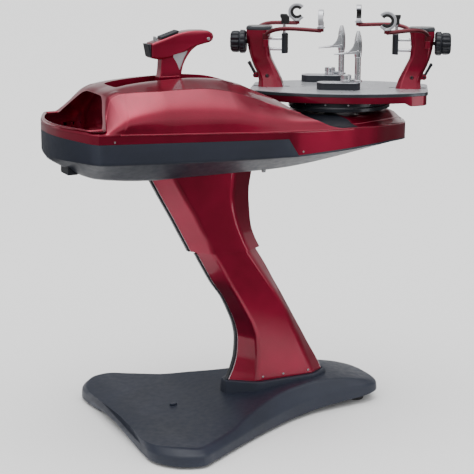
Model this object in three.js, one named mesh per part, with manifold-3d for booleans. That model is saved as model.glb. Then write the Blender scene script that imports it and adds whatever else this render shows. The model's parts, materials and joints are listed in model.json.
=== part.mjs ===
// Electronic racket stringing machine on a leaning, height-adjustable column and a moulded base.
// Millimetres, +Z up. +X runs along the hull from the tool tray to the turntable, and the
// machine is symmetric about its middle plane, apart from what is turned on the turntable.
import * as THREE from 'three';
import Module from 'manifold-3d';

const wasm = await Module();
wasm.setup();

// Clearances that every seat and every running fit share
const seatGap = 0.3;
const runGap = 0.6;
const overrun = 20;

// Numbers of facets, which are counts and not sizes
const facets = { small: 10, round: 16, wide: 28, rim: 48, corner: 3, path: 12, section: 9, curve: 4 };

// Lean of the column: how far it goes left for each millimetre that it climbs
const leanShare = 0.53;

// Base: outline and heights of the moulded cover, and the steel frame and feet under it
const base = {
  left: -474, length: 812, halfWidth: 357, height: 100, wall: 5, bowIn: 34,
  padMargin: 14, padTop: 96.7, padRoot: 54, padFlare: 2.5, mastMargin: 3, bowReach: 0.2, bowShare: 0.75,
  rimShare: 0.985, acrossShares: [0, 0.3, 0.62],
};
// x, half width, rim bottom, rim top, crease half width, crease, hollow half width, hollow floor
const baseStationShares = [
  [0.0, 0.57, 0.08, 0.28, 0.48, 0.4, 0.3, 0.36],
  [0.014, 0.72, 0.08, 0.3, 0.63, 0.44, 0.34, 0.38],
  [0.045, 0.86, 0.08, 0.33, 0.77, 0.48, 0.36, 0.41],
  [0.09, 0.955, 0.08, 0.34, 0.87, 0.51, 0.35, 0.43],
  [0.155, 1.0, 0.08, 0.34, 0.92, 0.47, 0.33, 0.43],
  [0.21, 0.935, 0.08, 0.33, 0.86, 0.46, 0.3, 0.44],
  [0.3, 0.81, 0.08, 0.34, 0.73, 0.47, 0.26, 0.47],
  [0.4, 0.675, 0.08, 0.37, 0.57, 0.6, 0.21, 0.57],
  [0.51, 0.54, 0.09, 0.41, 0.42, 0.73, 0.17, 0.71],
  [0.62, 0.43, 0.11, 0.46, 0.325, 0.83, 0.15, 0.83],
  [0.72, 0.37, 0.15, 0.52, 0.285, 0.86, 0.14, 0.88],
  [0.83, 0.345, 0.2, 0.55, 0.27, 0.8, 0.13, 0.82],
  [0.91, 0.335, 0.25, 0.55, 0.26, 0.68, 0.12, 0.7],
  [0.96, 0.3, 0.29, 0.52, 0.22, 0.58, 0.1, 0.6],
  [0.99, 0.2, 0.31, 0.47, 0.145, 0.51, 0.07, 0.53],
  [1.0, 0.1, 0.31, 0.42, 0.07, 0.46, 0.035, 0.47],
];
const baseFrame = {
  bottom: 14, top: 36, spineLeft: -400, spineRight: 282, halfWidth: 32,
  rearBar: 40, rearBarX: -386, rearReach: base.halfWidth - 39,
  frontBar: 32, frontBarX: 250, frontReach: base.halfWidth * 0.2465,
};
const foot = { radius: 21, height: 9, neckRadius: 9, inset: 22, soleShare: 0.9, soleRise: 0.35 };

// Column: sections of the fixed lower cover and of the sleeve that slides over it
const column = {
  bottom: 97, shoulder: 471, prismTop: 640, left: -233, width: 193,
  face: 60, leftFace: 9, rightFace: 30, wall: 4,
};
// how much of a ring's growth its edges and its creases take
const ringGrowth = { edge: 0.6, crease: 0.4 };
// height above the foot as a share of the way to the shoulder, then left edge, left crease,
// right crease and right edge as shares of the shoulder's width from its left edge
const columnStationShares = [
  [0.0, 0.596, 0.95, 1.85, 2.085],
  [0.09, 0.676, 0.955, 1.78, 2.0],
  [0.197, 0.73, 0.955, 1.7, 1.88],
  [0.319, 0.743, 0.94, 1.6, 1.75],
  [0.421, 0.71, 0.88, 1.5, 1.64],
  [0.543, 0.62, 0.76, 1.395, 1.51],
  [0.655, 0.513, 0.64, 1.27, 1.39],
  [0.757, 0.373, 0.53, 1.135, 1.275],
  [0.888, 0.228, 0.4, 0.96, 1.135],
  [1.0, 0.114, 0.275, 0.815, 1.0],
];
const sleeve = {
  bottom: 480, top: 705.7, left: -246, width: 214, face: 66, leftFace: 10, rightFace: 33, clear: 1.5,
};
// height share of the sleeve, then the same four places as shares of its width at the bottom
const sleeveStationShares = [
  [0.0, 0.067, 0.26, 0.775, 1.0],
  [0.121, 0.002, 0.215, 0.71, 0.935],
  [0.269, -0.08, 0.13, 0.645, 0.88],
  [0.418, -0.161, 0.055, 0.59, 0.86],
  [0.678, -0.312, -0.098, 0.542, 0.845],
  [1.0, -0.492, -0.284, 0.578, 0.894],
];
const trim = { thickness: 5, faceShare: 0.92, outerShare: 0.8 };

// Mast: two steel tubes that telescope inside the column
const mast = {
  x: -136, z: 471, outerX: 70, outerY: 60, wall: 4, play: 1, bottom: baseFrame.top + seatGap, top: 600,
  innerBottom: 330, flangeX: 112, flangeY: 92, flangeThick: 8,
};

// Hull: outline of the tub and the cover on it. What stands in it takes its place from its length
const hull = {
  left: -640, length: 1080, halfWidth: 200, underside: 690, height: 268, wall: 4, rim: 13,
  panelStep: 3, edgeStep: 0.15, undersideInset: 0.6, chineInset: 0.4,
};
const boss = { radius: 9, y: 45, shares: [0.18519, 0.7037] };
// Openings of the cover: tool tray, channel of the tension head and slot of its stem
const tray = {
  rear: hullX(0.16111), floor: 800, rimHeight: 857, half: 171, cabHalf: 66, cabRoof: 928, cabShare: 0.5,
  rimShare: 0.7, shares: [0.0235, 0.027, 0.0345, 0.045, 0.0585, 0.0745, 0.09], basinShare: 0.52,
};
const channel = { left: hullX(0.17407), right: hullX(0.57407), half: 47, floor: 905 };
const slot = { left: hullX(0.18148), right: hullX(0.42963), half: 20 };
// x and height of the seam between the tub and the cover
const seamShares = [
  [0.0148, 0.535], [0.078, 0.507], [0.567, 0.422], [0.594, 0.254], [0.65, 0.264], [0.74, 0.28],
  [0.824, 0.298], [0.88, 0.296], [0.926, 0.284], [0.956, 0.272], [0.977, 0.262], [0.997, 0.25],
];
// x, half width, underside, its half width, lower edge
const tubStationShares = [
  [0.0148, 0.05, 0.299, 0.02, 0.321],
  [0.0185, 0.27, 0.28, 0.08, 0.322],
  [0.026, 0.44, 0.258, 0.16, 0.323],
  [0.05, 0.78, 0.2, 0.32, 0.325],
  [0.066, 0.95, 0.165, 0.42, 0.322],
  [0.078, 1.0, 0.145, 0.47, 0.318],
  [0.1, 1.0, 0.118, 0.53, 0.311],
  [0.13, 1.0, 0.1, 0.56, 0.306],
  [0.195, 1.0, 0.072, 0.57, 0.295],
  [0.255, 1.0, 0.06, 0.56, 0.283],
  [0.55, 0.99, 0.06, 0.515, 0.246],
  [0.567, 0.99, 0.061, 0.51, 0.245],
  [0.594, 0.99, 0.064, 0.5, 0.243],
  [0.65, 0.985, 0.078, 0.475, 0.25],
  [0.74, 0.96, 0.115, 0.42, 0.265],
  [0.824, 0.89, 0.155, 0.35, 0.282],
  [0.88, 0.75, 0.182, 0.28, 0.28],
  [0.926, 0.6, 0.203, 0.2, 0.27],
  [0.956, 0.46, 0.215, 0.14, 0.26],
  [0.977, 0.26, 0.227, 0.08, 0.252],
  [0.997, 0.05, 0.236, 0.02, 0.243],
];
// x, half width, crease, side half width and height, shoulder half width and height,
// crown half width and height, share of the step round the side panel
const coverStationShares = [
  [0.0148, 0.05, 0.597, 0.045, 0.607, 0.04, 0.614, 0.03, 0.62, 0],
  [0.0185, 0.27, 0.598, 0.26, 0.609, 0.25, 0.617, 0.22, 0.624, 0],
  [0.026, 0.44, 0.6, 0.43, 0.612, 0.41, 0.62, 0.38, 0.627, 0],
  [0.05, 0.78, 0.6, 0.77, 0.612, 0.75, 0.622, 0.71, 0.63, 0],
  [0.066, 0.95, 0.597, 0.935, 0.61, 0.915, 0.62, 0.87, 0.63, 0],
  [0.078, 1.0, 0.594, 0.98, 0.607, 0.958, 0.619, 0.91, 0.63, 0],
  [0.095, 1.0, 0.59, 0.98, 0.605, 0.955, 0.618, 0.9, 0.63, 0],
  [0.115, 1.0, 0.586, 0.97, 0.655, 0.9, 0.715, 0.61, 0.76, 0],
  [0.137, 1.0, 0.582, 0.96, 0.71, 0.81, 0.84, 0.36, 0.898, 0],
  [0.158, 1.0, 0.578, 0.96, 0.745, 0.8, 0.885, 0.35, 0.932, 1],
  [0.205, 1.0, 0.567, 0.96, 0.765, 0.77, 0.918, 0.33, 0.97, 1],
  [0.28, 1.0, 0.552, 0.955, 0.77, 0.735, 0.94, 0.3, 0.992, 1],
  [0.355, 1.0, 0.537, 0.955, 0.757, 0.72, 0.937, 0.29, 1.0, 1],
  [0.43, 1.0, 0.522, 0.955, 0.731, 0.71, 0.896, 0.29, 0.978, 1],
  [0.49, 0.995, 0.507, 0.96, 0.672, 0.72, 0.82, 0.3, 0.918, 0.8],
  [0.537, 0.995, 0.5, 0.965, 0.627, 0.75, 0.747, 0.32, 0.836, 0.5],
  [0.567, 0.99, 0.496, 0.965, 0.604, 0.77, 0.709, 0.34, 0.784, 0.2],
  [0.594, 0.99, 0.493, 0.97, 0.59, 0.79, 0.67, 0.4, 0.739, 0],
  [0.65, 0.985, 0.485, 0.975, 0.575, 0.83, 0.605, 0.5, 0.64, 0],
  [0.695, 0.975, 0.48, 0.97, 0.525, 0.85, 0.55, 0.55, 0.59, 0],
  [0.74, 0.96, 0.476, 0.95, 0.489, 0.86, 0.51, 0.58, 0.57, 0],
  [0.78, 0.93, 0.47, 0.92, 0.478, 0.83, 0.5, 0.58, 0.555, 0],
  [0.824, 0.89, 0.463, 0.875, 0.473, 0.75, 0.5, 0.54, 0.552, 0],
  [0.88, 0.75, 0.448, 0.735, 0.459, 0.6, 0.489, 0.38, 0.555, 0],
  [0.926, 0.6, 0.433, 0.585, 0.444, 0.45, 0.481, 0.24, 0.555, 0],
  [0.956, 0.46, 0.422, 0.44, 0.433, 0.3, 0.462, 0.15, 0.515, 0],
  [0.977, 0.26, 0.414, 0.245, 0.421, 0.18, 0.434, 0.1, 0.455, 0],
  [0.997, 0.05, 0.407, 0.045, 0.411, 0.035, 0.414, 0.02, 0.418, 0],
];

// Turntable: its axis, the hollow in the hull round it, the plate, the skirt and the bearing
const table = {
  x: hullX(0.80556), top: 903, plateThick: 10, halfLength: 245, ellipse: 290, halfDepth: 150,
  turn: THREE.MathUtils.degToRad(-32),
  skirtInset: 3, skirtWall: 6, skirtDrop: 13, endDrop: 27, endFrom: 196, webThick: 6,
  hubRadius: 58, hubBottom: 858.3, shaftRadius: 20, shaftBottom: 762,
  slotHalf: 8, slotFrom: 138, slotTo: 240, cornerShare: 0.08, shoulderShares: [0.93, 0.8],
};
const plateBottom = table.top - table.plateThick;
const hollow = {
  radius: 258, rimHeight: 848, moatRadius: 190, moatFloor: 817, deckRadius: 135, deckHeight: 842,
};
const bearing = { flangeRadius: 56, flangeThick: 8, radius: 44, deckClear: 6 };

// Chassis, tension drive and electronics inside the hull
const chassis = { bottom: 742, thick: 6, left: hullX(0.12963), halfWidth: 60, endRadius: 60 };
const chassisTop = chassis.bottom + chassis.thick;
const motor = { length: 62, radius: 30, mount: 6, flangeShare: 0.93, room: 40 };
const bed = {
  left: hullX(0.1713), right: table.x - hollow.radius - motor.length - motor.room,
  halfWidth: 60, bottom: 822, thick: 6, endThick: 10, endTop: 882,
  railRadius: 6, railSpread: 40, axisZ: 860, legWidth: 40, legInset: 50,
};
const screw = { radius: 8, journalRadius: 5, journal: 9 };
const carriage = { left: hullX(0.29444), length: 72, halfWidth: 54, bottom: 836, top: 884 };
const supply = { left: hullX(0.48889), length: 116, halfWidth: 50, height: 46 };
const board = {
  margin: 6, thick: 2, chip: 9, chipHeight: 8, chipShares: [[0.2, -0.5], [0.55, 0.1], [0.82, 0.55]],
};

// Tension head, from the string roller at its right end to the end cap at its left
const headLeft = hullX(0.27685);
const head = {
  left: headLeft, length: 178, base: 948, height: 131, half: 22, bevel: 6, stemHalf: 17,
  rollerX: headLeft + 161, rollerZ: 1055, rollerRadius: 9, grooveRadius: 6, rollerPin: 3, slotHalf: 9,
  slotBack: 12, pinReach: 16, rollerHalf: 8.4, grooveHalf: 5,
};
// outline of the head over its stem: shares of its length from the left, and of its height
const headOutlineShares = [
  [0.0, 0.48], [0.0, 0.77], [0.2, 0.855], [0.44, 0.96], [0.64, 1.0], [0.91, 0.985],
  [0.98, 0.93], [1.0, 0.86], [0.98, 0.78], [0.93, 0.74], [0.86, 0.725], [0.75, 0.685],
  [0.65, 0.6], [0.575, 0.465], [0.515, 0.32], [0.46, 0.0], [0.12, 0.0],
  [0.155, 0.2], [0.165, 0.38], [0.13, 0.44],
];
// the points of the outline that make the upper edge
const headCrest = headOutlineShares.slice(1, 6);
const stem = { left: headLeft + 22, length: 59, bottom: 884.3, overlap: 8 };
const endCap = { thick: 9, half: 19, bottomShare: 0.5, topShare: 0.76, tilt: 7 };
const gripper = {
  plateLeft: headLeft + 31, plateLength: 48, plateHalf: 16, plateThick: 6,
  jawX: headLeft + 19, jawDeep: 6, jawThick: 5, jawRise: 16, barrel: 4.5, barrelHalf: 11, pocketHalf: 8,
  pinHalf: 16, pinRadius: 2.5,
};

// Power inlet with its rocker switch under the tray end, and the console on the far side
const inlet = {
  x: hullX(0.05278), width: 26, near: -76, far: -18, top: 766, bottom: 733,
  socket: 12, socketHalf: 9, socketDepth: 14, pinHalf: 1, pinReach: 3, pinRise: 3, pinRoot: 1,
};
const rocker = {
  width: 12, length: 20, height: 9, pocket: 13, pocketClear: 2, hang: 1, lift: 3, dip: 1,
  backShare: 0.8, shoulderShare: 0.75,
};
const rockerY = inlet.far - rocker.pocket;
const consolePlate = {
  x: hullX(0.35), y: 167, z: 916, tilt: THREE.MathUtils.degToRad(45),
  length: 150, width: 54, thick: 12, proud: 4,
  windowLength: 62, windowWidth: 30, windowDeep: 2, windowShift: 0.55,
};
const consoleMatrix = new THREE.Matrix4().makeRotationX(-consolePlate.tilt)
  .setPosition(consolePlate.x, consolePlate.y, consolePlate.z);
const key = { size: 15, travel: 1.5, proud: 2.5, deep: 7, pitch: 24, from: 18 };

// Towers: section, fittings and what slides or turns on each
const tower = {
  foot: table.top + seatGap, height: 157, inner: 156, width: 70, half: 30, corner: 9,
};
// height share, inner edge, outer edge (shares of the foot's width from its inner edge), half depth
const towerStationShares = [
  [0.0, 0.0, 1.0, 1.0],
  [0.12, 0.08, 0.985, 0.92],
  [0.24, 0.2, 1.05, 0.85],
  [0.38, 0.36, 1.2, 0.82],
  [0.56, 0.53, 1.34, 0.87],
  [0.76, 0.57, 1.43, 0.93],
  [0.91, 0.53, 1.47, 0.97],
  [1.0, 0.49, 1.47, 0.97],
];
const towerKey = { from: 176, to: 210, half: 7, deep: 8 };
const cap = { height: 10, overhang: 1, bevelShare: 0.85 };
const knob = {
  z: 1026, from: 260.5, innerLength: 18, outerLength: 26, innerRadius: 33, outerRadius: 26,
  ribs: 12, ribDeep: 3.5, shaftRadius: 5, shaftDeep: 12,
};
const support = {
  railHigh: 1035, railLow: 1006, railRadius: 4.5, railEnd: 228, boreEnd: 244,
  blockBack: 161, blockNose: 144, blockTop: 1051, blockBottom: 995, blockHalf: 16,
  postX: 155, postRadius: 4, postTop: 1096,
};
const pad = { bottom: 1077, height: 26, width: 25, half: 11, lip: 8, neckShare: 0.55 };
const latch = {
  pivotX: 234, pivotZ: 934, barrel: 5, half: 11, pin: 2.5, earThick: 4, earRadius: 7,
  length: 38, thick: 6, tipShare: 0.8, lean: THREE.MathUtils.degToRad(28),
};
const arm = {
  radius: 5.8, hubRadius: 8.5, hubBottom: 1037, hubHeight: 16, pinRadius: 4, bossDrop: 20,
  reach: 41, eyeRadius: 8, eyeBottom: 1064, eyeHeight: 9, stubRadius: 3, stubHeight: 9, pathZ: 1049,
  rise: 21,
};
// route of each arm from its hub: shares of the way to its end, sideways bow and climb
const armRouteShares = [
  [0.0, 0.0, 0.0], [0.13, 0.07, 0.55], [0.32, 0.11, 0.92], [0.55, 0.09, 1.0], [1.0, 0.0, 0.84],
];
const longArm = { hubX: 203, endX: 48, endY: 98 };
const shortArm = { hubX: 240, endX: 130, endY: 140 };
const hook = {
  outer: 25, inner: 15, half: 7, mouth: THREE.MathUtils.degToRad(40), footHalf: 6, bevel: 1.5,
};

// String clamps: oblong base, turning post with its collar and head, and the cam lever
const clamp = {
  baseTop: 923, half: 22, length: 120, pivotRadius: 8, pivotDeep: 8, pivotShare: 0.32,
  footThick: 6, footRadius: 13, postRadius: 8.5, headBottom: 992, headTop: 1063,
  headHalf: 6, headWide: 11, jawSlot: 3, jawDeep: 34,
  collarRadius: 15, collarHeight: 17, collarOffset: 32, tongue: 18, tongueHalf: 7, tongueThick: 9,
  spigotRadius: 5, spigotDeep: 12,
  leverZ: 1006, leverLength: 58, leverThick: 5, leverHalf: 5, leverPin: 3, leverBarrel: 5, leverDrop: 6,
  leverBridge: 20,
};
const nearClamp = { x: 0, y: -54, postX: 52 };
const farClamp = { x: -54, y: 115, postX: 0 };
const clampFloor = table.top + seatGap;

// Finishes
const finish = {
  candyRed: new THREE.MeshStandardMaterial({ color: 0x7a0d1e, roughness: 0.22, metalness: 0.55 }),
  satinGrey: new THREE.MeshStandardMaterial({ color: 0x2f3945, roughness: 0.5, metalness: 0.1 }),
  blackPlastic: new THREE.MeshStandardMaterial({ color: 0x16181b, roughness: 0.55, metalness: 0.0 }),
  rubber: new THREE.MeshStandardMaterial({ color: 0x0d0d0e, roughness: 0.9, metalness: 0.0 }),
  chrome: new THREE.MeshStandardMaterial({ color: 0xd9dbde, roughness: 0.12, metalness: 1.0 }),
  steel: new THREE.MeshStandardMaterial({ color: 0x9da1a6, roughness: 0.35, metalness: 0.9 }),
  silver: new THREE.MeshStandardMaterial({ color: 0xb4b8bd, roughness: 0.35, metalness: 0.7 }),
  boardGreen: new THREE.MeshStandardMaterial({ color: 0x1f5a37, roughness: 0.5, metalness: 0.1 }),
};

// Solids: every geometry becomes a closed solid with merged corners and its faces out
const weldGrid = 0.0001;

function solid(geometry) {
  const flat = geometry.index ? geometry.toNonIndexed() : geometry;
  const position = flat.attributes.position;
  const lookup = new Map();
  const places = [];
  const corners = [];
  for (let i = 0; i < position.count; i += 1) {
    const place = [position.getX(i), position.getY(i), position.getZ(i)];
    const name = place.map((value) => Math.round(value / weldGrid)).join();
    if (!lookup.has(name)) {
      lookup.set(name, places.length);
      places.push(place);
    }
    corners.push(lookup.get(name));
  }
  let volume = 0;
  const triangles = [];
  for (let i = 0; i < corners.length; i += 3) {
    const [a, b, c] = corners.slice(i, i + 3);
    if (a !== b && b !== c && c !== a) {
      triangles.push([a, b, c]);
      const [p, q, r] = [a, b, c].map((corner) => new THREE.Vector3(...places[corner]));
      volume += p.dot(q.cross(r));
    }
  }
  const facing = volume < 0 ? triangles.map(([a, b, c]) => [a, c, b]) : triangles;
  const mesh = new wasm.Mesh({
    numProp: 3,
    vertProperties: new Float32Array(places.flat()),
    triVerts: new Uint32Array(facing.flat()),
  });
  return new wasm.Manifold(mesh);
}

function join(...solids) {
  return solids.reduce((whole, piece) => whole.add(piece));
}

function cut(whole, ...tools) {
  return tools.reduce((left, tool) => left.subtract(tool), whole);
}

function geometryOf(manifold) {
  const mesh = manifold.getMesh();
  const geometry = new THREE.BufferGeometry();
  geometry.setAttribute('position', new THREE.BufferAttribute(new Float32Array(mesh.vertProperties), 3));
  geometry.setIndex(new THREE.BufferAttribute(new Uint32Array(mesh.triVerts), 1));
  const faceted = geometry.toNonIndexed();
  faceted.computeVertexNormals();
  return faceted;
}

// The basic solids, each given by its limits
function block([x0, x1], [y0, y1], [z0, z1]) {
  const geometry = new THREE.BoxGeometry(x1 - x0, y1 - y0, z1 - z0);
  return solid(geometry.translate((x0 + x1) / 2, (y0 + y1) / 2, (z0 + z1) / 2));
}

const upright = new THREE.Matrix4().makeRotationX(Math.PI / 2);

function rod(radius, [z0, z1], [x, y], segments = facets.round) {
  const geometry = new THREE.CylinderGeometry(radius, radius, z1 - z0, segments);
  return solid(geometry.applyMatrix4(upright).translate(x, y, (z0 + z1) / 2));
}

function rodAlongX(radius, [x0, x1], [y, z], segments = facets.round) {
  const geometry = new THREE.CylinderGeometry(radius, radius, x1 - x0, segments);
  return solid(geometry.rotateZ(Math.PI / 2).translate((x0 + x1) / 2, y, z));
}

function rodAlongY(radius, [y0, y1], [x, z], segments = facets.round) {
  const geometry = new THREE.CylinderGeometry(radius, radius, y1 - y0, segments);
  return solid(geometry.translate(x, (y0 + y1) / 2, z));
}

function turned(profile, [x, y], segments = facets.wide) {
  const points = profile.map(([radius, z]) => new THREE.Vector2(radius, z));
  const geometry = new THREE.LatheGeometry(points, segments);
  return solid(geometry.applyMatrix4(upright).translate(x, y, 0));
}

// A plan outline raised from one height to another
function raised(points, [z0, z1]) {
  const shape = new THREE.Shape(points.map(([x, y]) => new THREE.Vector2(x, y)));
  const geometry = new THREE.ExtrudeGeometry(shape, { depth: z1 - z0, bevelEnabled: false });
  return solid(geometry.translate(0, 0, z0));
}

// A side view outline in X and Z, pushed out to both sides of the middle plane
function sideways(points, half, bevel = 0) {
  const shape = new THREE.Shape(points.map(([x, z]) => new THREE.Vector2(x, z)));
  const geometry = new THREE.ExtrudeGeometry(shape, {
    depth: (half - bevel) * 2,
    bevelEnabled: bevel > 0,
    bevelSize: bevel,
    bevelThickness: bevel,
    bevelOffset: -bevel,
    bevelSegments: 2,
  });
  return solid(geometry.translate(0, 0, bevel - half).applyMatrix4(upright));
}

// A round bar along a smooth path
function bar(path, radius, sides = facets.small) {
  const section = new THREE.Shape();
  section.absarc(0, 0, radius, 0, Math.PI * 2, false);
  const curve = new THREE.CatmullRomCurve3(path.map((place) => new THREE.Vector3(...place)));
  return solid(new THREE.ExtrudeGeometry(section, {
    steps: facets.path,
    curveSegments: Math.ceil(sides / 2),
    extrudePath: curve,
    bevelEnabled: false,
  }));
}

function capTriangles(ring) {
  const normal = new THREE.Vector3();
  ring.forEach((point, i) => normal.add(point.clone().cross(ring[(i + 1) % ring.length])));
  const flat = ring.map((point) => {
    if (Math.abs(normal.x) > Math.abs(normal.z)) return new THREE.Vector2(point.y, point.z);
    return new THREE.Vector2(point.x, point.y);
  });
  const facing = THREE.ShapeUtils.area(flat) > 0;
  return THREE.ShapeUtils.triangulateShape(flat, []).map(([a, b, c]) => {
    const turn = THREE.ShapeUtils.area([flat[a], flat[b], flat[c]]) > 0;
    return turn === facing ? [a, b, c] : [a, c, b];
  });
}

// A skin over a row of rings with as many points each, closed at both ends
function loft(rings) {
  const positions = [];
  const face = (...points) => points.forEach((point) => positions.push(point.x, point.y, point.z));
  const [first, last] = [rings[0], rings[rings.length - 1]];
  capTriangles(first).forEach(([a, b, c]) => face(first[a], first[c], first[b]));
  capTriangles(last).forEach(([a, b, c]) => face(last[a], last[b], last[c]));
  for (let k = 0; k + 1 < rings.length; k += 1) {
    const [here, next] = [rings[k], rings[k + 1]];
    here.forEach((point, i) => {
      const j = (i + 1) % here.length;
      face(point, here[j], next[j]);
      face(point, next[j], next[i]);
    });
  }
  const geometry = new THREE.BufferGeometry();
  geometry.setAttribute('position', new THREE.Float32BufferAttribute(positions, 3));
  return solid(geometry);
}

// A ring in a plane across X, from its half on the far side, listed from the bottom up
function acrossX(x, half) {
  const far = half.map(([y, z]) => new THREE.Vector3(x, y, z));
  const near = half.filter(([y]) => y > 0).map(([y, z]) => new THREE.Vector3(x, -y, z));
  return [...far, ...near.reverse()];
}

function roundedRing([x0, x1], [y0, y1], radius, z) {
  const shape = [];
  const centres = [[x1 - radius, y1 - radius], [x0 + radius, y1 - radius], [x0 + radius, y0 + radius],
    [x1 - radius, y0 + radius]];
  centres.forEach(([x, y], quarter) => {
    for (let i = 0; i <= facets.corner; i += 1) {
      const angle = (quarter + i / facets.corner) * Math.PI / 2;
      shape.push(new THREE.Vector3(x + radius * Math.cos(angle), y + radius * Math.sin(angle), z));
    }
  });
  return shape;
}

function between(table, share, column) {
  const next = Math.max(1, table.findIndex((row) => row[0] >= share));
  const [low, high] = [table[next - 1], table[next]];
  const part = (share - low[0]) / (high[0] - low[0]);
  return low[column] + Math.min(1, Math.max(0, part)) * (high[column] - low[column]);
}

// A smooth run through a few points of a half section
function smooth(points, count) {
  const curve = new THREE.SplineCurve(points.map(([y, z]) => new THREE.Vector2(y, z)));
  return curve.getPoints(count).map((point) => [point.x, point.y]);
}

const machine = new THREE.Group();
machine.name = 'stringing_machine';

function put(parent, name, manifold, material, [x, y, z] = [0, 0, 0]) {
  const mesh = new THREE.Mesh(geometryOf(manifold), material);
  mesh.name = name;
  mesh.position.set(x, y, z);
  parent.add(mesh);
  return mesh;
}

// Base
function baseRings(inset) {
  return baseStationShares.map(([s, ...shares]) => {
    const x = base.left + inset + s * (base.length - 2 * inset);
    const [w, zb, zr, c, zc, q, zq] = shares;
    const wide = w * base.halfWidth - inset;
    const low = zb * base.height - (inset ? overrun : 0);
    const half = [
      ...base.acrossShares.map((share) => [share * wide, low]),
      [wide, low],
      [w * base.halfWidth * base.rimShare - inset, zr * base.height - inset],
      [c * base.halfWidth - inset, zc * base.height - inset],
      [q * base.halfWidth, zq * base.height - inset],
      [0, zq * base.height - inset],
    ];
    const fade = Math.max(0, 1 - s / base.bowReach) * base.bowIn;
    return acrossX(x, half).map((point) => {
      const reach = Math.min(1, Math.abs(point.y) / (base.halfWidth * base.bowShare));
      point.x += fade * (1 - reach * reach);
      return point;
    });
  });
}

function mastPrism(halfX, halfY, [z0, z1]) {
  const ring = (z) => {
    const x = mast.x - (z - mast.z) * leanShare;
    return [[halfX, halfY], [-halfX, halfY], [-halfX, -halfY], [halfX, -halfY]]
      .map(([dx, dy]) => new THREE.Vector3(x + dx, dy, z));
  };
  return loft([ring(z0), ring(z1)]);
}

function baseCover() {
  const shell = cut(loft(baseRings(0)), loft(baseRings(base.wall)));
  const [bottom] = columnPlaces();
  const pad = loft([
    columnRing({ ...bottom, z: base.padRoot }, column, base.padMargin * base.padFlare),
    columnRing({ ...bottom, z: base.padTop }, column, base.padMargin),
  ]);
  const mastHole = mastPrism(mast.outerX / 2 + base.mastMargin, mast.outerY / 2 + base.mastMargin,
    [0, base.padTop + overrun]);
  return cut(join(shell, pad), mastHole);
}

function baseFrameSolid() {
  const { bottom, top, halfWidth } = baseFrame;
  const bar3 = (x, width, reach) => block([x, x + width], [-reach, reach], [bottom, top]);
  return join(
    block([baseFrame.spineLeft, baseFrame.spineRight], [-halfWidth, halfWidth], [bottom, top]),
    bar3(baseFrame.rearBarX, baseFrame.rearBar, baseFrame.rearReach),
    bar3(baseFrame.frontBarX, baseFrame.frontBar, baseFrame.frontReach),
  );
}

function footSolid(x, y) {
  const top = baseFrame.bottom - seatGap;
  const { radius, height, neckRadius, soleShare, soleRise } = foot;
  return turned([[0, 0], [radius * soleShare, 0], [radius, height * soleRise], [radius, height],
    [neckRadius, height], [neckRadius, top], [0, top]], [x, y], facets.round);
}

// Column and sleeve
function columnPlaces() {
  const rise = column.shoulder - column.bottom;
  return columnStationShares.map(([h, ...edges]) => {
    const [xl, xlc, xrc, xr] = edges.map((edge) => column.left + edge * column.width);
    return { z: column.bottom + h * rise, xl, xlc, xrc, xr };
  });
}

function columnRing({ z, xl, xlc, xrc, xr }, size, grow) {
  const [edge, crease] = [grow * ringGrowth.edge, grow * ringGrowth.crease];
  const [f, l, r] = [size.face + grow, size.leftFace + edge, size.rightFace + edge];
  return [[xl - grow, l], [xl - grow, -l], [xlc - crease, -f], [xrc + crease, -f],
    [xr + grow, -r], [xr + grow, r], [xrc + crease, f], [xlc - crease, f]]
    .map(([x, y]) => new THREE.Vector3(x, y, z));
}

function prismPlace(z) {
  const shoulder = columnPlaces().at(-1);
  const shift = (shoulder.z - z) * leanShare;
  const moved = Object.fromEntries(Object.entries(shoulder).map(([edge, x]) => [edge, x + shift]));
  return { ...moved, z };
}

function lowerColumn() {
  const rows = [...columnPlaces(), prismPlace(column.prismTop)];
  const first = rows[0];
  const below = { ...first, z: first.z - overrun };
  const inner = [below, ...rows.slice(0, -1), prismPlace(column.prismTop + overrun)];
  return cut(
    loft(rows.map((row) => columnRing(row, column, 0))),
    loft(inner.map((row) => columnRing(row, column, -column.wall))),
  );
}

function sleevePlaces() {
  const rise = sleeve.top - sleeve.bottom;
  return sleeveStationShares.map(([h, ...edges]) => {
    const [xl, xlc, xrc, xr] = edges.map((edge) => sleeve.left + edge * sleeve.width);
    return { z: sleeve.bottom + h * rise, xl, xlc, xrc, xr };
  });
}

function columnSleeve() {
  const bore = [prismPlace(sleeve.bottom - overrun), prismPlace(sleeve.top + overrun)];
  return cut(
    loft(sleevePlaces().map((row) => columnRing(row, sleeve, 0))),
    loft(bore.map((row) => columnRing(row, column, sleeve.clear))),
  );
}

function edgeTrim(rows, leftFace) {
  const half = leftFace * trim.faceShare;
  return loft(rows.map(({ z, xl }) => [
    [xl - seatGap, half], [xl - seatGap, -half],
    [xl - trim.thickness, -half * trim.outerShare], [xl - trim.thickness, half * trim.outerShare],
  ].map(([x, y]) => new THREE.Vector3(x, y, z))));
}

function outerMast() {
  const tube = cut(
    mastPrism(mast.outerX / 2, mast.outerY / 2, [mast.bottom, mast.top]),
    mastPrism(mast.outerX / 2 - mast.wall, mast.outerY / 2 - mast.wall,
      [mast.bottom + mast.flangeThick, mast.top + overrun]),
  );
  const x = mast.x - (mast.bottom - mast.z) * leanShare;
  const flange = block([x - mast.flangeX / 2, x + mast.flangeX / 2],
    [-baseFrame.halfWidth, baseFrame.halfWidth], [mast.bottom, mast.bottom + mast.flangeThick]);
  return join(tube, flange);
}

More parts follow.
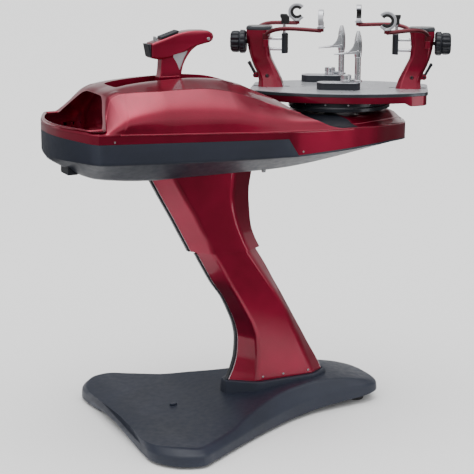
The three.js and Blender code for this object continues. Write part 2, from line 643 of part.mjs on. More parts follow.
function innerMast() {
  const top = chassis.bottom - seatGap;
  const [halfX, halfY] = [mast.outerX, mast.outerY].map((size) => size / 2 - mast.wall - mast.play);
  const tube = cut(
    mastPrism(halfX, halfY, [mast.innerBottom, top]),
    mastPrism(halfX - mast.wall, halfY - mast.wall, [mast.innerBottom - overrun, top - mast.flangeThick]),
  );
  const x = mast.x - (top - mast.z) * leanShare;
  return join(tube, block([x - mast.flangeX / 2, x + mast.flangeX / 2],
    [-mast.flangeY / 2, mast.flangeY / 2], [top - mast.flangeThick, top]));
}

// Hull tub
function hullX(share) {
  return hull.left + share * hull.length;
}

function hullZ(share) {
  return hull.underside + share * hull.height;
}

function seamZ(share) {
  return hullZ(between(seamShares, share, 1));
}

function hullHalfAt(x) {
  return between(tubStationShares, (x - hull.left) / hull.length, 1) * hull.halfWidth;
}

function tubRings(inset) {
  const rows = inset ? tubStationShares.slice(3, -3) : tubStationShares;
  return rows.map(([s, w, zb, wb, zl]) => {
    const half = [
      [Math.max(1, wb * hull.halfWidth - inset * hull.undersideInset), hullZ(zb) + inset],
      [w * hull.halfWidth - inset, hullZ(zl) + inset * hull.chineInset],
      [w * hull.halfWidth - inset, seamZ(s) - seatGap + (inset ? overrun : 0)],
    ];
    return acrossX(hullX(s), half);
  });
}

function hullTub() {
  const shell = cut(loft(tubRings(0)), loft(tubRings(hull.wall)));
  const bosses = boss.shares.flatMap((share) => {
    const floor = hullZ(between(tubStationShares, share, 2)) + hull.wall / 2;
    const rise = [floor, chassis.bottom - seatGap];
    return [boss.y, -boss.y].map((y) => rod(boss.radius, rise, [hullX(share), y]));
  });
  const mastHole = mastPrism(mast.outerX / 2, mast.outerY / 2, [sleeve.top - overrun, chassis.bottom]);
  return cut(join(shell, ...bosses), mastHole, inletBlock(seatGap), trayTool(hull.wall + seatGap));
}

// Hull cover, with the tray, the channel of the tension head and the hollow under the turntable
function coverRings(inset) {
  const rows = inset ? coverStationShares.slice(3, -2) : coverStationShares;
  return rows.map(([s, w, zc, wm, zm, wp, zp, wt, zt, stepped]) => {
    const step = Math.max(hull.edgeStep, stepped) * hull.panelStep;
    const wide = (share) => share * hull.halfWidth - inset;
    const panel = smooth([[wide(w) - step, hullZ(zc) + step], [wide(wm) - step, hullZ(zm)],
      [wide(wp) - step, hullZ(zp) - inset * tray.rimShare]], facets.curve);
    const crown = smooth([[wide(wp), hullZ(zp) + step - inset * tray.rimShare], [wide(wt), hullZ(zt) - inset],
      [0, hullZ(zt) - inset]], facets.curve);
    const half = [[wide(w), seamZ(s) - (inset ? overrun : 0)], [wide(w), hullZ(zc)], ...panel, ...crown];
    return acrossX(hullX(s), half.map(([y, z]) => [Math.max(y, 0), z]));
  });
}

function trayTool(grow) {
  const stops = tray.shares.map(hullX);
  return loft([...stops, tray.rear + grow].map((x, i) => {
    const half = Math.min(tray.half, hullHalfAt(x - hull.rim * tray.rimShare)) + grow;
    const roof = Math.min(half * tray.cabShare, tray.cabHalf) + grow * tray.rimShare;
    return acrossX(i === stops.length ? x : x - grow, [
      [half, tray.floor - grow], [half, tray.rimHeight + grow / 2], [roof, tray.cabRoof + grow],
    ]);
  }));
}

function hollowTool(grow) {
  const rim = [];
  for (let i = 0; i <= facets.corner; i += 1) {
    const share = i / facets.corner;
    rim.push([hollow.moatRadius + share * (hollow.radius - hollow.moatRadius) + grow,
      hollow.moatFloor + share * share * (hollow.rimHeight - hollow.moatFloor) - grow]);
  }
  const high = hull.underside + hull.height + overrun;
  return turned([[0, hollow.deckHeight - grow], [hollow.deckRadius, hollow.deckHeight - grow],
    ...rim, [hollow.radius + grow, high], [0, high]], [table.x, 0], facets.rim);
}

function channelTool(grow) {
  return block([channel.left - grow, channel.right + grow], [-channel.half - grow, channel.half + grow],
    [channel.floor - grow, hull.underside + hull.height + overrun]);
}

function hullCover() {
  const { wall } = hull;
  const cavity = cut(loft(coverRings(wall)), trayTool(wall), hollowTool(wall), channelTool(wall));
  const below = block([hull.left, tray.rear + wall], [-hull.halfWidth, hull.halfWidth],
    [tray.floor - wall - overrun, hullZ(tray.basinShare)]);
  const basin = trayTool(wall).intersect(below);
  const shell = join(cut(loft(coverRings(0)), cavity), basin);
  const stemSlot = block([slot.left, slot.right], [-slot.half, slot.half],
    [channel.floor - wall - overrun, channel.floor + overrun]);
  const well = rod(bearing.radius + bearing.deckClear,
    [hollow.moatFloor - overrun, hollow.deckHeight + overrun], [table.x, 0], facets.wide);
  return cut(shell, trayTool(0), hollowTool(0), channelTool(0), stemSlot, well, consoleBlock(seatGap));
}

// Console on the far shoulder, in its own tilted frame and as a solid in the hull's
function consoleBlock(grow) {
  const { length, width, thick, proud } = consolePlate;
  const geometry = new THREE.BoxGeometry(length + 2 * grow, width + 2 * grow, thick + (grow ? overrun : 0));
  return solid(geometry.translate(0, 0, proud - thick / 2).applyMatrix4(consoleMatrix));
}

function keyBox(index, grow, [z0, z1]) {
  const x = key.from + index * key.pitch;
  const half = key.size / 2 + grow;
  const geometry = new THREE.BoxGeometry(half * 2, half * 2, z1 - z0);
  return solid(geometry.translate(x, 0, (z0 + z1) / 2).applyMatrix4(consoleMatrix));
}

function consoleSolid() {
  const { proud, windowLength, windowWidth, windowDeep, windowShift } = consolePlate;
  const opening = new THREE.BoxGeometry(windowLength, windowWidth, windowDeep * 2)
    .translate(-windowLength * windowShift, 0, proud).applyMatrix4(consoleMatrix);
  const pockets = [0, 1].map((index) => keyBox(index, runGap, [proud - key.deep, proud + overrun]));
  return cut(consoleBlock(0), solid(opening), ...pockets);
}

function keySolid(index) {
  const { proud } = consolePlate;
  return keyBox(index, 0, [proud - key.deep + key.travel + runGap, proud + key.proud]);
}

// Power inlet with the pocket of its rocker, let into the underside of the tray end
function inletBlock(grow) {
  const half = inlet.width / 2 + grow;
  return block([inlet.x - half, inlet.x + half], [inlet.near - grow, inlet.far + grow],
    [inlet.bottom - (grow ? overrun : 0), inlet.top]);
}

function powerInlet() {
  const { x, bottom, socketHalf, socketDepth, pinHalf, pinReach, pinRise, pinRoot } = inlet;
  const socketY = inlet.near + inlet.socket;
  const socket = block([x - socketHalf, x + socketHalf], [socketY - socketHalf, socketY + socketHalf],
    [bottom - overrun, bottom + socketDepth]);
  const pin = block([x - pinHalf, x + pinHalf], [socketY - pinReach, socketY + pinReach],
    [bottom + pinRise, bottom + socketDepth + pinRoot]);
  const [length, width] = [rocker.length / 2 + runGap, rocker.width / 2 + runGap];
  const pocket = block([x - length, x + length], [rockerY - width, rockerY + width],
    [bottom - overrun, bottom + rocker.height + rocker.pocketClear]);
  return join(cut(inletBlock(0), socket, pocket), pin);
}

function rockerSwitch() {
  const { lift, dip, backShare, shoulderShare } = rocker;
  const bottom = inlet.bottom - rocker.hang;
  const [half, shoulder] = [rocker.length / 2, bottom + rocker.height * shoulderShare];
  const shape = [[-half, bottom + lift], [0, bottom + dip], [half, bottom - dip], [half * backShare, shoulder],
    [0, bottom + rocker.height], [-half * backShare, shoulder]];
  return sideways(shape, rocker.width / 2);
}

// Inside the hull: chassis, drive, electronics and the bearing of the turntable
function chassisPlate() {
  const z = [chassis.bottom, chassisTop];
  return join(
    block([chassis.left, table.x], [-chassis.halfWidth, chassis.halfWidth], z),
    rod(chassis.endRadius, z, [table.x, 0], facets.wide),
  );
}

function railBed() {
  const { left, right, halfWidth, bottom, thick, endThick, endTop, axisZ } = bed;
  const width = [-halfWidth, halfWidth];
  const legs = [left + bed.legInset, right - bed.legInset - bed.legWidth].map(
    (x) => block([x, x + bed.legWidth], width, [chassisTop + seatGap, bottom + thick / 2]),
  );
  const rails = [-bed.railSpread, bed.railSpread].map(
    (y) => rodAlongX(bed.railRadius, [left + endThick / 2, right - endThick / 2], [y, axisZ], facets.small),
  );
  const whole = join(
    block([left, right], width, [bottom, bottom + thick]),
    block([left, left + endThick], width, [bottom, endTop]),
    block([right - endThick, right], width, [bottom, endTop]),
    ...legs,
    ...rails,
  );
  return cut(whole, rodAlongX(screw.journalRadius + runGap, [left - overrun, right + overrun], [0, axisZ]));
}

function leadScrew() {
  const { left, right, endThick, axisZ } = bed;
  return join(
    rodAlongX(screw.radius, [left + endThick + runGap, right - endThick - runGap], [0, axisZ]),
    rodAlongX(screw.journalRadius, [left, right + screw.journal], [0, axisZ]),
  );
}

function driveMotor() {
  const left = bed.right + seatGap;
  const half = motor.radius * motor.flangeShare;
  const bore = rodAlongX(screw.journalRadius + runGap,
    [left - overrun, left + screw.journal + runGap], [0, bed.axisZ]);
  return cut(join(
    block([left, left + motor.mount], [-half, half], [bed.axisZ - half, bed.axisZ + half]),
    rodAlongX(motor.radius, [left + motor.mount / 2, left + motor.length], [0, bed.axisZ], facets.wide),
  ), bore);
}

function tensionCarriage() {
  const { left, length, halfWidth, bottom, top } = carriage;
  const right = left + length;
  const through = [left - overrun, right + overrun];
  return cut(
    block([left, right], [-halfWidth, halfWidth], [bottom, top]),
    rodAlongX(bed.railRadius + runGap, through, [bed.railSpread, bed.axisZ], facets.small),
    rodAlongX(bed.railRadius + runGap, through, [-bed.railSpread, bed.axisZ], facets.small),
    rodAlongX(screw.radius + runGap, through, [0, bed.axisZ]),
  );
}

function powerSupply() {
  const bottom = chassisTop + seatGap;
  return block([supply.left, supply.left + supply.length], [-supply.halfWidth, supply.halfWidth],
    [bottom, bottom + supply.height]);
}

function circuitBoard() {
  const bottom = chassisTop + supply.height + seatGap * 2;
  const { margin, thick, chip, chipHeight } = board;
  const [x0, x1] = [supply.left + margin, supply.left + supply.length - margin];
  const half = supply.halfWidth - margin;
  const chips = board.chipShares.map(([sx, sy]) => {
    const x = x0 + sx * (x1 - x0);
    const y = sy * half;
    return block([x - chip, x + chip], [y - chip, y + chip],
      [bottom + thick / 2, bottom + thick + chipHeight]);
  });
  return join(block([x0, x1], [-half, half], [bottom, bottom + thick]), ...chips);
}

function turntableBearing() {
  const bottom = chassisTop + seatGap;
  const flangeTop = bottom + bearing.flangeThick;
  const bore = table.shaftRadius + runGap;
  return turned([[bore, bottom], [bearing.flangeRadius, bottom], [bearing.flangeRadius, flangeTop],
    [bearing.radius, flangeTop], [bearing.radius, table.hubBottom - seatGap],
    [bore, table.hubBottom - seatGap], [bore, bottom]], [table.x, 0]);
}

// Tension head
function headPlace([sx, sz]) {
  return [head.left + sx * head.length, head.base + sz * head.height];
}

function headTopAt(x) {
  return head.base + head.height * between(headCrest, (x - head.left) / head.length, 1);
}

function tensionHead() {
  const outline = sideways(headOutlineShares.map(headPlace), head.half, head.bevel);
  const lowest = head.base + head.bevel + seatGap;
  const neck = block([stem.left, stem.left + stem.length], [-head.stemHalf, head.stemHalf],
    [stem.bottom, lowest + stem.overlap]);
  const rollerSlot = block([head.rollerX - head.slotBack, head.rollerX + overrun * 2],
    [-head.slotHalf, head.slotHalf], [head.base + head.height / 2, head.rollerZ + head.slotBack]);
  const pinBore = rodAlongY(head.rollerPin + runGap, [-head.pinReach - runGap, head.pinReach + runGap],
    [head.rollerX, head.rollerZ], facets.small);
  const { jawX, pocketHalf, barrelHalf, pinHalf, pinRadius } = gripper;
  const jawZ = headTopAt(jawX) - gripper.jawDeep;
  const pocket = block([jawX - pocketHalf, jawX + pocketHalf], [-barrelHalf - runGap, barrelHalf + runGap],
    [jawZ - gripper.barrel - runGap, headTopAt(jawX) + overrun]);
  const jawBore = rodAlongY(pinRadius + runGap, [-pinHalf - runGap, pinHalf + runGap], [jawX, jawZ],
    facets.small);
  return cut(join(outline, neck), rollerSlot, pinBore, pocket, jawBore);
}

function headEndCap() {
  const [x, low, high] = [head.left - seatGap, endCap.bottomShare, endCap.topShare];
  const z = [low, high].map((share) => head.base + share * head.height);
  return sideways([[x, z[0]], [x, z[1]], [x - endCap.thick, z[1]], [x - endCap.thick + endCap.tilt, z[0]]],
    endCap.half);
}

function gripperPlate() {
  const { plateLeft, plateLength, plateThick, plateHalf } = gripper;
  const plateRight = plateLeft + plateLength;
  const [z0, z1] = [plateLeft, plateRight].map((x) => headTopAt(x) + seatGap);
  return sideways([[plateLeft, z0], [plateRight, z1], [plateRight, z1 + plateThick],
    [plateLeft, z0 + plateThick]], plateHalf);
}

function gripperJaw() {
  const { jawX, jawThick, jawRise, barrel, barrelHalf, pinHalf, pinRadius } = gripper;
  const jawZ = headTopAt(jawX) - gripper.jawDeep;
  return join(
    rodAlongY(barrel, [-barrelHalf, barrelHalf], [jawX, jawZ], facets.small),
    rodAlongY(pinRadius, [-pinHalf, pinHalf], [jawX, jawZ], facets.small),
    block([jawX - jawThick / 2, jawX + jawThick / 2], [-barrelHalf, barrelHalf], [jawZ, jawZ + jawRise]),
  );
}

// Lathed round Z and laid along Y: end faces, groove in the middle and a pin at each side
function stringRoller() {
  const { rollerRadius, grooveRadius, rollerPin, pinReach, rollerHalf, grooveHalf } = head;
  const profile = [[0, -pinReach], [rollerPin, -pinReach], [rollerPin, -rollerHalf],
    [rollerRadius, -rollerHalf], [rollerRadius, -grooveHalf], [grooveRadius, 0], [rollerRadius, grooveHalf],
    [rollerRadius, rollerHalf], [rollerPin, rollerHalf], [rollerPin, pinReach], [0, pinReach]];
  const points = profile.map(([radius, y]) => new THREE.Vector2(radius, y));
  return solid(new THREE.LatheGeometry(points, facets.round).translate(head.rollerX, 0, head.rollerZ));
}

// Turntable, about its own axis and along its own length
function tableOutline(inset) {
  const { halfLength, ellipse, halfDepth, cornerShare, shoulderShares } = table;
  const long = halfLength - inset;
  const points = [];
  const half = [];
  for (let i = 0; i <= facets.section; i += 1) {
    const x = long * (1 - cornerShare) * Math.sin((i / facets.section) * Math.PI / 2);
    half.push([x, (halfDepth - inset) * Math.sqrt(1 - (x / ellipse) ** 2)]);
  }
  const [, shoulder] = half.at(-1);
  half.push([long * (1 - cornerShare / 3), shoulder * shoulderShares[0]]);
  half.push([long, shoulder * shoulderShares[1]]);
  points.push(...half);
  points.push(...half.map(([x, y]) => [x, -y]).reverse());
  points.push(...half.slice(1).map(([x, y]) => [-x, -y]));
  points.push(...half.slice(1).map(([x, y]) => [-x, y]).reverse());
  return points;
}

function clampPivot(spot) {
  return spot.x - clamp.length * clamp.pivotShare;
}

function turntablePlate() {
  const through = [plateBottom - overrun, table.top + overrun];
  const { slotFrom, slotTo, slotHalf } = table;
  const ends = [[slotFrom, slotTo], [-slotTo, -slotFrom]];
  const slots = ends.map((x) => block(x, [-slotHalf, slotHalf], through));
  const pivots = [nearClamp, farClamp].map(
    (spot) => rod(clamp.pivotRadius + runGap, through, [clampPivot(spot), spot.y]),
  );
  return cut(raised(tableOutline(0), [plateBottom, table.top]), ...slots, ...pivots);
}

function turntableSkirt() {
  const { skirtInset, skirtWall, skirtDrop, endDrop, endFrom, webThick, hubRadius, hubBottom } = table;
  const top = plateBottom - seatGap;
  const outline = tableOutline(skirtInset);
  const inner = tableOutline(skirtInset + skirtWall);
  const middle = block([-endFrom, endFrom], [-table.halfDepth, table.halfDepth],
    [top - endDrop - overrun, top - skirtDrop]);
  const shell = cut(
    raised(outline, [top - endDrop, top]),
    raised(inner, [top - endDrop - overrun, top - webThick]),
    middle,
  );
  return join(
    shell,
    rod(hubRadius, [hubBottom, top - webThick / 2], [0, 0], facets.wide),
    rod(table.shaftRadius, [table.shaftBottom, hubBottom + webThick], [0, 0]),
  );
}

// String clamps
function clampBase(spot) {
  const radius = clamp.half;
  const reach = clamp.length / 2 - radius;
  const points = [];
  [[reach, -Math.PI / 2], [-reach, Math.PI / 2]].forEach(([x, from]) => {
    for (let i = 0; i <= facets.small; i += 1) {
      const angle = from + (i / facets.small) * Math.PI;
      points.push([x + radius * Math.cos(angle), radius * Math.sin(angle)]);
    }
  });
  const body = raised(points, [clampFloor, clamp.baseTop]);
  const pivotX = -clamp.length * clamp.pivotShare;
  const spigot = rod(clamp.pivotRadius, [clampFloor - clamp.pivotDeep, clampFloor + clamp.footThick],
    [pivotX, 0]);
  const bore = rod(clamp.spigotRadius + runGap,
    [clamp.baseTop - clamp.spigotDeep - runGap, clamp.baseTop + overrun], [spot.postX - spot.x, 0]);
  return cut(join(body, spigot), bore);
}

function clampPost() {
  const bottom = clamp.baseTop + seatGap;
  const { headBottom, headTop, headHalf, headWide, jawSlot, jawDeep, leverZ } = clamp;
  const { collarOffset, collarHeight, tongueHalf, tongueThick } = clamp;
  const whole = join(
    rod(clamp.footRadius, [bottom, bottom + clamp.footThick], [0, 0]),
    rod(clamp.postRadius, [bottom, headBottom], [0, 0]),
    rod(clamp.spigotRadius, [clamp.baseTop - clamp.spigotDeep, bottom + clamp.footThick / 2], [0, 0]),
    block([-headWide, headWide], [-headHalf, headHalf], [headBottom - headHalf, headTop]),
    rod(clamp.collarRadius, [bottom + runGap, bottom + collarHeight], [-collarOffset, 0]),
    block([-collarOffset, 0], [-tongueHalf, tongueHalf], [bottom + runGap, bottom + tongueThick]),
  );
  return cut(
    whole,
    block([-headWide - overrun, headWide + overrun], [-jawSlot / 2, jawSlot / 2],
      [headTop - jawDeep, headTop + overrun]),
    rodAlongY(clamp.leverPin + runGap, [-headHalf - overrun, headHalf + overrun], [0, leverZ], facets.small),
  );
}

function clampLever() {
  const { headHalf, leverPin, leverBarrel, leverThick } = clamp;
  const { leverHalf, leverLength, leverDrop, leverBridge } = clamp;
  const near = headHalf + runGap;
  const far = near + leverHalf;
  const slope = (x) => (leverDrop * x) / leverLength;
  const strip = (x0, x1) => [[x0, slope(x0) - leverThick / 2], [x1, slope(x1) - leverThick / 2],
    [x1, slope(x1) + leverThick / 2], [x0, slope(x0) + leverThick / 2]];
  const cheeks = [1, -1].map((side) => {
    const middle = side * (near + leverHalf / 2);
    return join(
      sideways(strip(-leverBridge - leverThick, 0), leverHalf / 2).translate([0, middle, 0]),
      rodAlongY(leverBarrel, [middle - leverHalf / 2, middle + leverHalf / 2], [0, 0], facets.small),
    );
  });
  return join(
    ...cheeks,
    sideways(strip(-leverLength, -leverBridge), far),
    rodAlongY(leverPin, [-far, far], [0, 0], facets.small),
  );
}

// Towers
function towerRow([share, inner, outer, half]) {
  return {
    x: [tower.inner + inner * tower.width, tower.inner + outer * tower.width],
    half: half * tower.half,
    z: tower.foot + share * tower.height,
  };
}

function towerBody() {
  const rings = towerStationShares.map(towerRow)
    .map(({ x, half, z }) => roundedRing(x, [-half, half], tower.corner, z));
  const keyBlock = block([towerKey.from, towerKey.to], [-towerKey.half, towerKey.half],
    [tower.foot - towerKey.deep, tower.foot + towerKey.deep]);
  const hubs = [[longArm.hubX, 1], [shortArm.hubX, -1]].flatMap(([x, side]) => {
    const top = arm.hubBottom - runGap;
    const y = side * arm.reach;
    return [
      rod(arm.hubRadius, [top - arm.bossDrop, top], [x, y]),
      block([x - arm.hubRadius, x + arm.hubRadius], [Math.min(0, y), Math.max(0, y)],
        [top - arm.bossDrop, top]),
      rod(arm.pinRadius, [top - arm.bossDrop / 2, arm.hubBottom + arm.hubHeight + runGap], [x, y]),
    ];
  });
  const ears = [1, -1].map((side) => {
    const inner = side * (latch.half + runGap);
    const outer = inner + side * latch.earThick;
    const across = [Math.min(inner, outer), Math.max(inner, outer)];
    return join(
      rodAlongY(latch.earRadius, across, [latch.pivotX, latch.pivotZ]),
      block([tower.inner + tower.width / 2, latch.pivotX], across,
        [latch.pivotZ - latch.earRadius, latch.pivotZ + latch.earRadius]),
    );
  });
  const earReach = latch.half + runGap + latch.earThick;
  const pinBore = rodAlongY(latch.pin + runGap, [-earReach - overrun, earReach + overrun],
    [latch.pivotX, latch.pivotZ], facets.small);
  const rails = [support.railHigh, support.railLow].map(
    (z) => rodAlongX(support.railRadius + runGap, [support.blockNose, support.boreEnd], [0, z], facets.small),
  );
  const knobBore = rodAlongX(knob.shaftRadius + runGap,
    [knob.from - knob.shaftDeep - runGap, knob.from + overrun], [0, knob.z]);
  return cut(join(loft(rings), keyBlock, ...hubs, ...ears), pinBore, ...rails, knobBore);
}

function towerCap() {
  const { x: [x0, x1], half, z } = towerRow(towerStationShares.at(-1));
  const { overhang, height, bevelShare } = cap;
  const bottom = z + seatGap;
  const ring = (grow, high) => roundedRing([x0 - grow, x1 + grow], [-half - grow, half + grow],
    tower.corner, high);
  return loft([ring(overhang, bottom), ring(overhang, bottom + height * bevelShare),
    ring(-overhang * 2, bottom + height)]);
}

function towerKnob() {
  const { from, innerLength, outerLength, innerRadius, outerRadius } = knob;
  const { ribs, ribDeep, shaftRadius, shaftDeep } = knob;
  const middle = from + innerLength;
  const outline = [];
  for (let i = 0; i < ribs * 2; i += 1) {
    const angle = (i / ribs) * Math.PI;
    const radius = outerRadius - (i % 2) * ribDeep;
    outline.push([radius * Math.cos(angle), radius * Math.sin(angle)]);
  }
  const quarter = new THREE.Matrix4().makeRotationY(Math.PI / 2);
  const shape = new THREE.Shape(outline.map(([x, y]) => new THREE.Vector2(x, y)));
  const grip = new THREE.ExtrudeGeometry(shape, { depth: outerLength + runGap, bevelEnabled: false });
  return join(
    rodAlongX(innerRadius, [from, middle], [0, knob.z], facets.wide),
    solid(grip.applyMatrix4(quarter).translate(middle - runGap, 0, knob.z)),
    rodAlongX(shaftRadius, [from - shaftDeep, from + runGap], [0, knob.z]),
  );
}

function towerLatch() {
  const { barrel, half, pin, earThick, length, thick, lean } = latch;
  const turn = new THREE.Matrix4().makeRotationY(lean);
  const strip = new THREE.BoxGeometry(thick, half * 2, length).translate(0, 0, length / 2);
  const tipRadius = thick * latch.tipShare;
  const tip = new THREE.CylinderGeometry(tipRadius, tipRadius, half * 2, facets.small);
  const reach = half + runGap + earThick;
  return join(
    rodAlongY(barrel, [-half, half], [0, 0], facets.round),
    rodAlongY(pin, [-reach, reach], [0, 0], facets.small),
    solid(strip.applyMatrix4(turn)),
    solid(tip.translate(0, 0, length).applyMatrix4(turn)),
  ).translate([latch.pivotX, 0, latch.pivotZ]);
}

function frameSupport() {
  const { railHigh, railLow, railRadius, railEnd, blockBack, blockNose, blockTop, blockBottom } = support;
  const nose = [];
  for (let i = 0; i <= facets.small; i += 1) {
    const angle = Math.PI / 2 + (i / facets.small) * Math.PI;
    nose.push([blockBack + (blockBack - blockNose) * Math.cos(angle), support.blockHalf * Math.sin(angle)]);
  }
  return join(
    raised(nose, [blockBottom, blockTop]),
    ...[railHigh, railLow].map(
      (z) => rodAlongX(railRadius, [blockBack - railRadius, railEnd], [0, z], facets.small),
    ),
    rod(support.postRadius, [blockTop - railRadius, support.postTop], [support.postX, 0], facets.small),
  );
}

function holdDownPad() {
  const { bottom, height, width, half, lip, neckShare } = pad;
  const [x0, x1] = [support.postX - width * neckShare, support.postX + width * (1 - neckShare)];
  const outline = [[x0, bottom], [x1, bottom], [x1, bottom + height], [x0 + lip, bottom + height],
    [x0, bottom + height - lip]];
  const bore = rod(support.postRadius + runGap, [bottom - overrun, bottom + height + overrun],
    [support.postX, 0], facets.small);
  return cut(sideways(outline, half), bore);
}

function armSolid({ hubX, endX, endY }, side) {
  const start = new THREE.Vector2(hubX, side * arm.reach);
  const finishAt = new THREE.Vector2(endX, side * endY);
  const way = finishAt.clone().sub(start);
  const out = new THREE.Vector2(-way.y, way.x).multiplyScalar(-side);
  const path = armRouteShares.map(([share, bow, climb]) => [
    start.x + way.x * share + out.x * bow,
    start.y + way.y * share + out.y * bow,
    arm.pathZ + climb * arm.rise,
  ]);
  const hubTop = arm.hubBottom + arm.hubHeight;
  const whole = join(
    bar(path, arm.radius),
    rod(arm.hubRadius, [arm.hubBottom, hubTop], [start.x, start.y]),
    rod(arm.eyeRadius, [arm.eyeBottom, arm.eyeBottom + arm.eyeHeight], [finishAt.x, finishAt.y]),
    rod(arm.stubRadius, [arm.eyeBottom, arm.eyeBottom + arm.eyeHeight + arm.stubHeight],
      [finishAt.x, finishAt.y], facets.small),
  );
  const bore = rod(arm.pinRadius + runGap, [arm.hubBottom - overrun, hubTop + overrun], [start.x, start.y]);
  return cut(whole, bore);
}

// Hook in its own frame: a C round the middle of its opening, which looks to the left
function hookSolid() {
  const { outer, inner, half, mouth, footHalf } = hook;
  const bottom = arm.eyeBottom + arm.eyeHeight + seatGap;
  const centre = bottom + outer;
  const points = [];
  const arc = (radius, from, to) => {
    for (let i = 0; i <= facets.round; i += 1) {
      const angle = from + (i / facets.round) * (to - from);
      points.push([radius * Math.cos(angle), centre + radius * Math.sin(angle)]);
    }
  };
  arc(outer, mouth - Math.PI, Math.PI - mouth);
  arc(inner, Math.PI - mouth, mouth - Math.PI);
  const footing = block([-footHalf, footHalf], [-footHalf, footHalf], [bottom, centre - (outer + inner) / 2]);
  const bore = rod(arm.stubRadius + runGap, [bottom - overrun, centre - inner + runGap], [0, 0], facets.small);
  return cut(join(sideways(points, half, hook.bevel), footing), bore);
}

// The machine: every sub-part under its own name
function addStand() {
  put(machine, 'base_cover', baseCover(), finish.satinGrey);
  put(machine, 'base_frame', baseFrameSolid(), finish.satinGrey);
  const rearX = baseFrame.rearBarX + baseFrame.rearBar / 2;
  const frontX = baseFrame.frontBarX + baseFrame.frontBar / 2;
  const bars = [['rear', rearX, baseFrame.rearReach], ['front', frontX, baseFrame.frontReach]];
  bars.forEach(([end, x, reach]) => {
    put(machine, `foot_${end}_near`, footSolid(x, foot.inset - reach), finish.rubber);
    put(machine, `foot_${end}_far`, footSolid(x, reach - foot.inset), finish.rubber);
  });
  put(machine, 'lower_column', lowerColumn(), finish.candyRed);
  put(machine, 'column_edge_trim', edgeTrim(columnPlaces(), column.leftFace), finish.blackPlastic);
  put(machine, 'outer_mast', outerMast(), finish.steel);
}

function addHull() {
  put(machine, 'column_sleeve', columnSleeve(), finish.candyRed);
  put(machine, 'sleeve_edge_trim', edgeTrim(sleevePlaces(), sleeve.leftFace), finish.blackPlastic);
  put(machine, 'inner_mast', innerMast(), finish.steel);
  put(machine, 'chassis', chassisPlate(), finish.steel);
  put(machine, 'hull_tub', hullTub(), finish.satinGrey);
  put(machine, 'hull_cover', hullCover(), finish.candyRed);
  put(machine, 'power_inlet', powerInlet(), finish.blackPlastic);
  put(machine, 'power_switch', rockerSwitch(), finish.blackPlastic, [inlet.x, rockerY, 0]);
  put(machine, 'control_console', consoleSolid(), finish.blackPlastic);
  put(machine, 'key_down', keySolid(0), finish.silver);
  put(machine, 'key_up', keySolid(1), finish.silver);
}

function addDrive() {
  put(machine, 'rail_bed', railBed(), finish.steel);
  put(machine, 'lead_screw', leadScrew(), finish.steel);
  put(machine, 'drive_motor', driveMotor(), finish.blackPlastic);
  put(machine, 'power_supply', powerSupply(), finish.steel);
  put(machine, 'circuit_board', circuitBoard(), finish.boardGreen);
  put(machine, 'turntable_bearing', turntableBearing(), finish.steel);
  put(machine, 'tension_carriage', tensionCarriage(), finish.steel);
  put(machine, 'tension_head', tensionHead(), finish.candyRed);
  put(machine, 'head_end_cap', headEndCap(), finish.blackPlastic);
  put(machine, 'gripper_plate', gripperPlate(), finish.blackPlastic);
  put(machine, 'gripper_jaw', gripperJaw(), finish.chrome);
  put(machine, 'string_roller', stringRoller(), finish.chrome);
}

function tableGroup(turn) {
  const group = new THREE.Group();
  group.position.set(table.x, 0, 0);
  group.rotation.z = turn;
  machine.add(group);
  return group;
}

function addTurntable() {
  const group = tableGroup(table.turn);
  put(group, 'turntable_plate', turntablePlate(), finish.silver);
  put(group, 'turntable_skirt', turntableSkirt(), finish.candyRed);
  [['near', nearClamp], ['far', farClamp]].forEach(([side, spot]) => {
    put(group, `${side}_clamp_base`, clampBase(spot), finish.blackPlastic, [spot.x, spot.y, 0]);
    put(group, `${side}_clamp_post`, clampPost(), finish.chrome, [spot.postX, spot.y, 0]);
    put(group, `${side}_clamp_lever`, clampLever(), finish.steel, [spot.postX, spot.y, clamp.leverZ]);
  });
}

function addTower(side, turn) {
  const group = tableGroup(turn);
  put(group, `${side}_tower_body`, towerBody(), finish.candyRed);
  put(group, `${side}_tower_cap`, towerCap(), finish.silver);
  put(group, `${side}_tower_knob`, towerKnob(), finish.blackPlastic);
  put(group, `${side}_tower_latch`, towerLatch(), finish.blackPlastic);
  put(group, `${side}_frame_support`, frameSupport(), finish.chrome);
  put(group, `${side}_hold_down_pad`, holdDownPad(), finish.blackPlastic);
  put(group, `${side}_long_arm`, armSolid(longArm, 1), finish.blackPlastic);
  put(group, `${side}_short_arm`, armSolid(shortArm, -1), finish.blackPlastic);
  const longHook = put(group, `${side}_long_hook`, hookSolid(), finish.blackPlastic,
    [longArm.endX, longArm.endY, 0]);
  longHook.rotation.z = Math.PI / 2;
  put(group, `${side}_short_hook`, hookSolid(), finish.blackPlastic, [shortArm.endX, -shortArm.endY, 0]);
}

addStand();
addHull();
addDrive();
addTurntable();
addTower('right', table.turn);
addTower('left', table.turn + Math.PI);

// The origin lies under the middle of the whole machine
machine.updateMatrixWorld(true);
const extent = new THREE.Box3().setFromObject(machine);
machine.position.set(-(extent.min.x + extent.max.x) / 2, -(extent.min.y + extent.max.y) / 2, -extent.min.z);
machine.updateMatrixWorld(true);

export default machine;
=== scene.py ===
"""Looks of a racket stringing machine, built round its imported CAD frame.

The shapes are drawn in millimetres in the machine's own drawing frame: the origin on the floor under
the foot of the column, X along the hull to the turntable, Y away from the camera and Z up.
"""

import json
import logging
from collections.abc import Sequence
from dataclasses import dataclass, field
from enum import Enum
from math import cos, pi, radians, sin, sqrt

import bmesh
import bpy
import numpy as np
from mathutils import Matrix, Vector

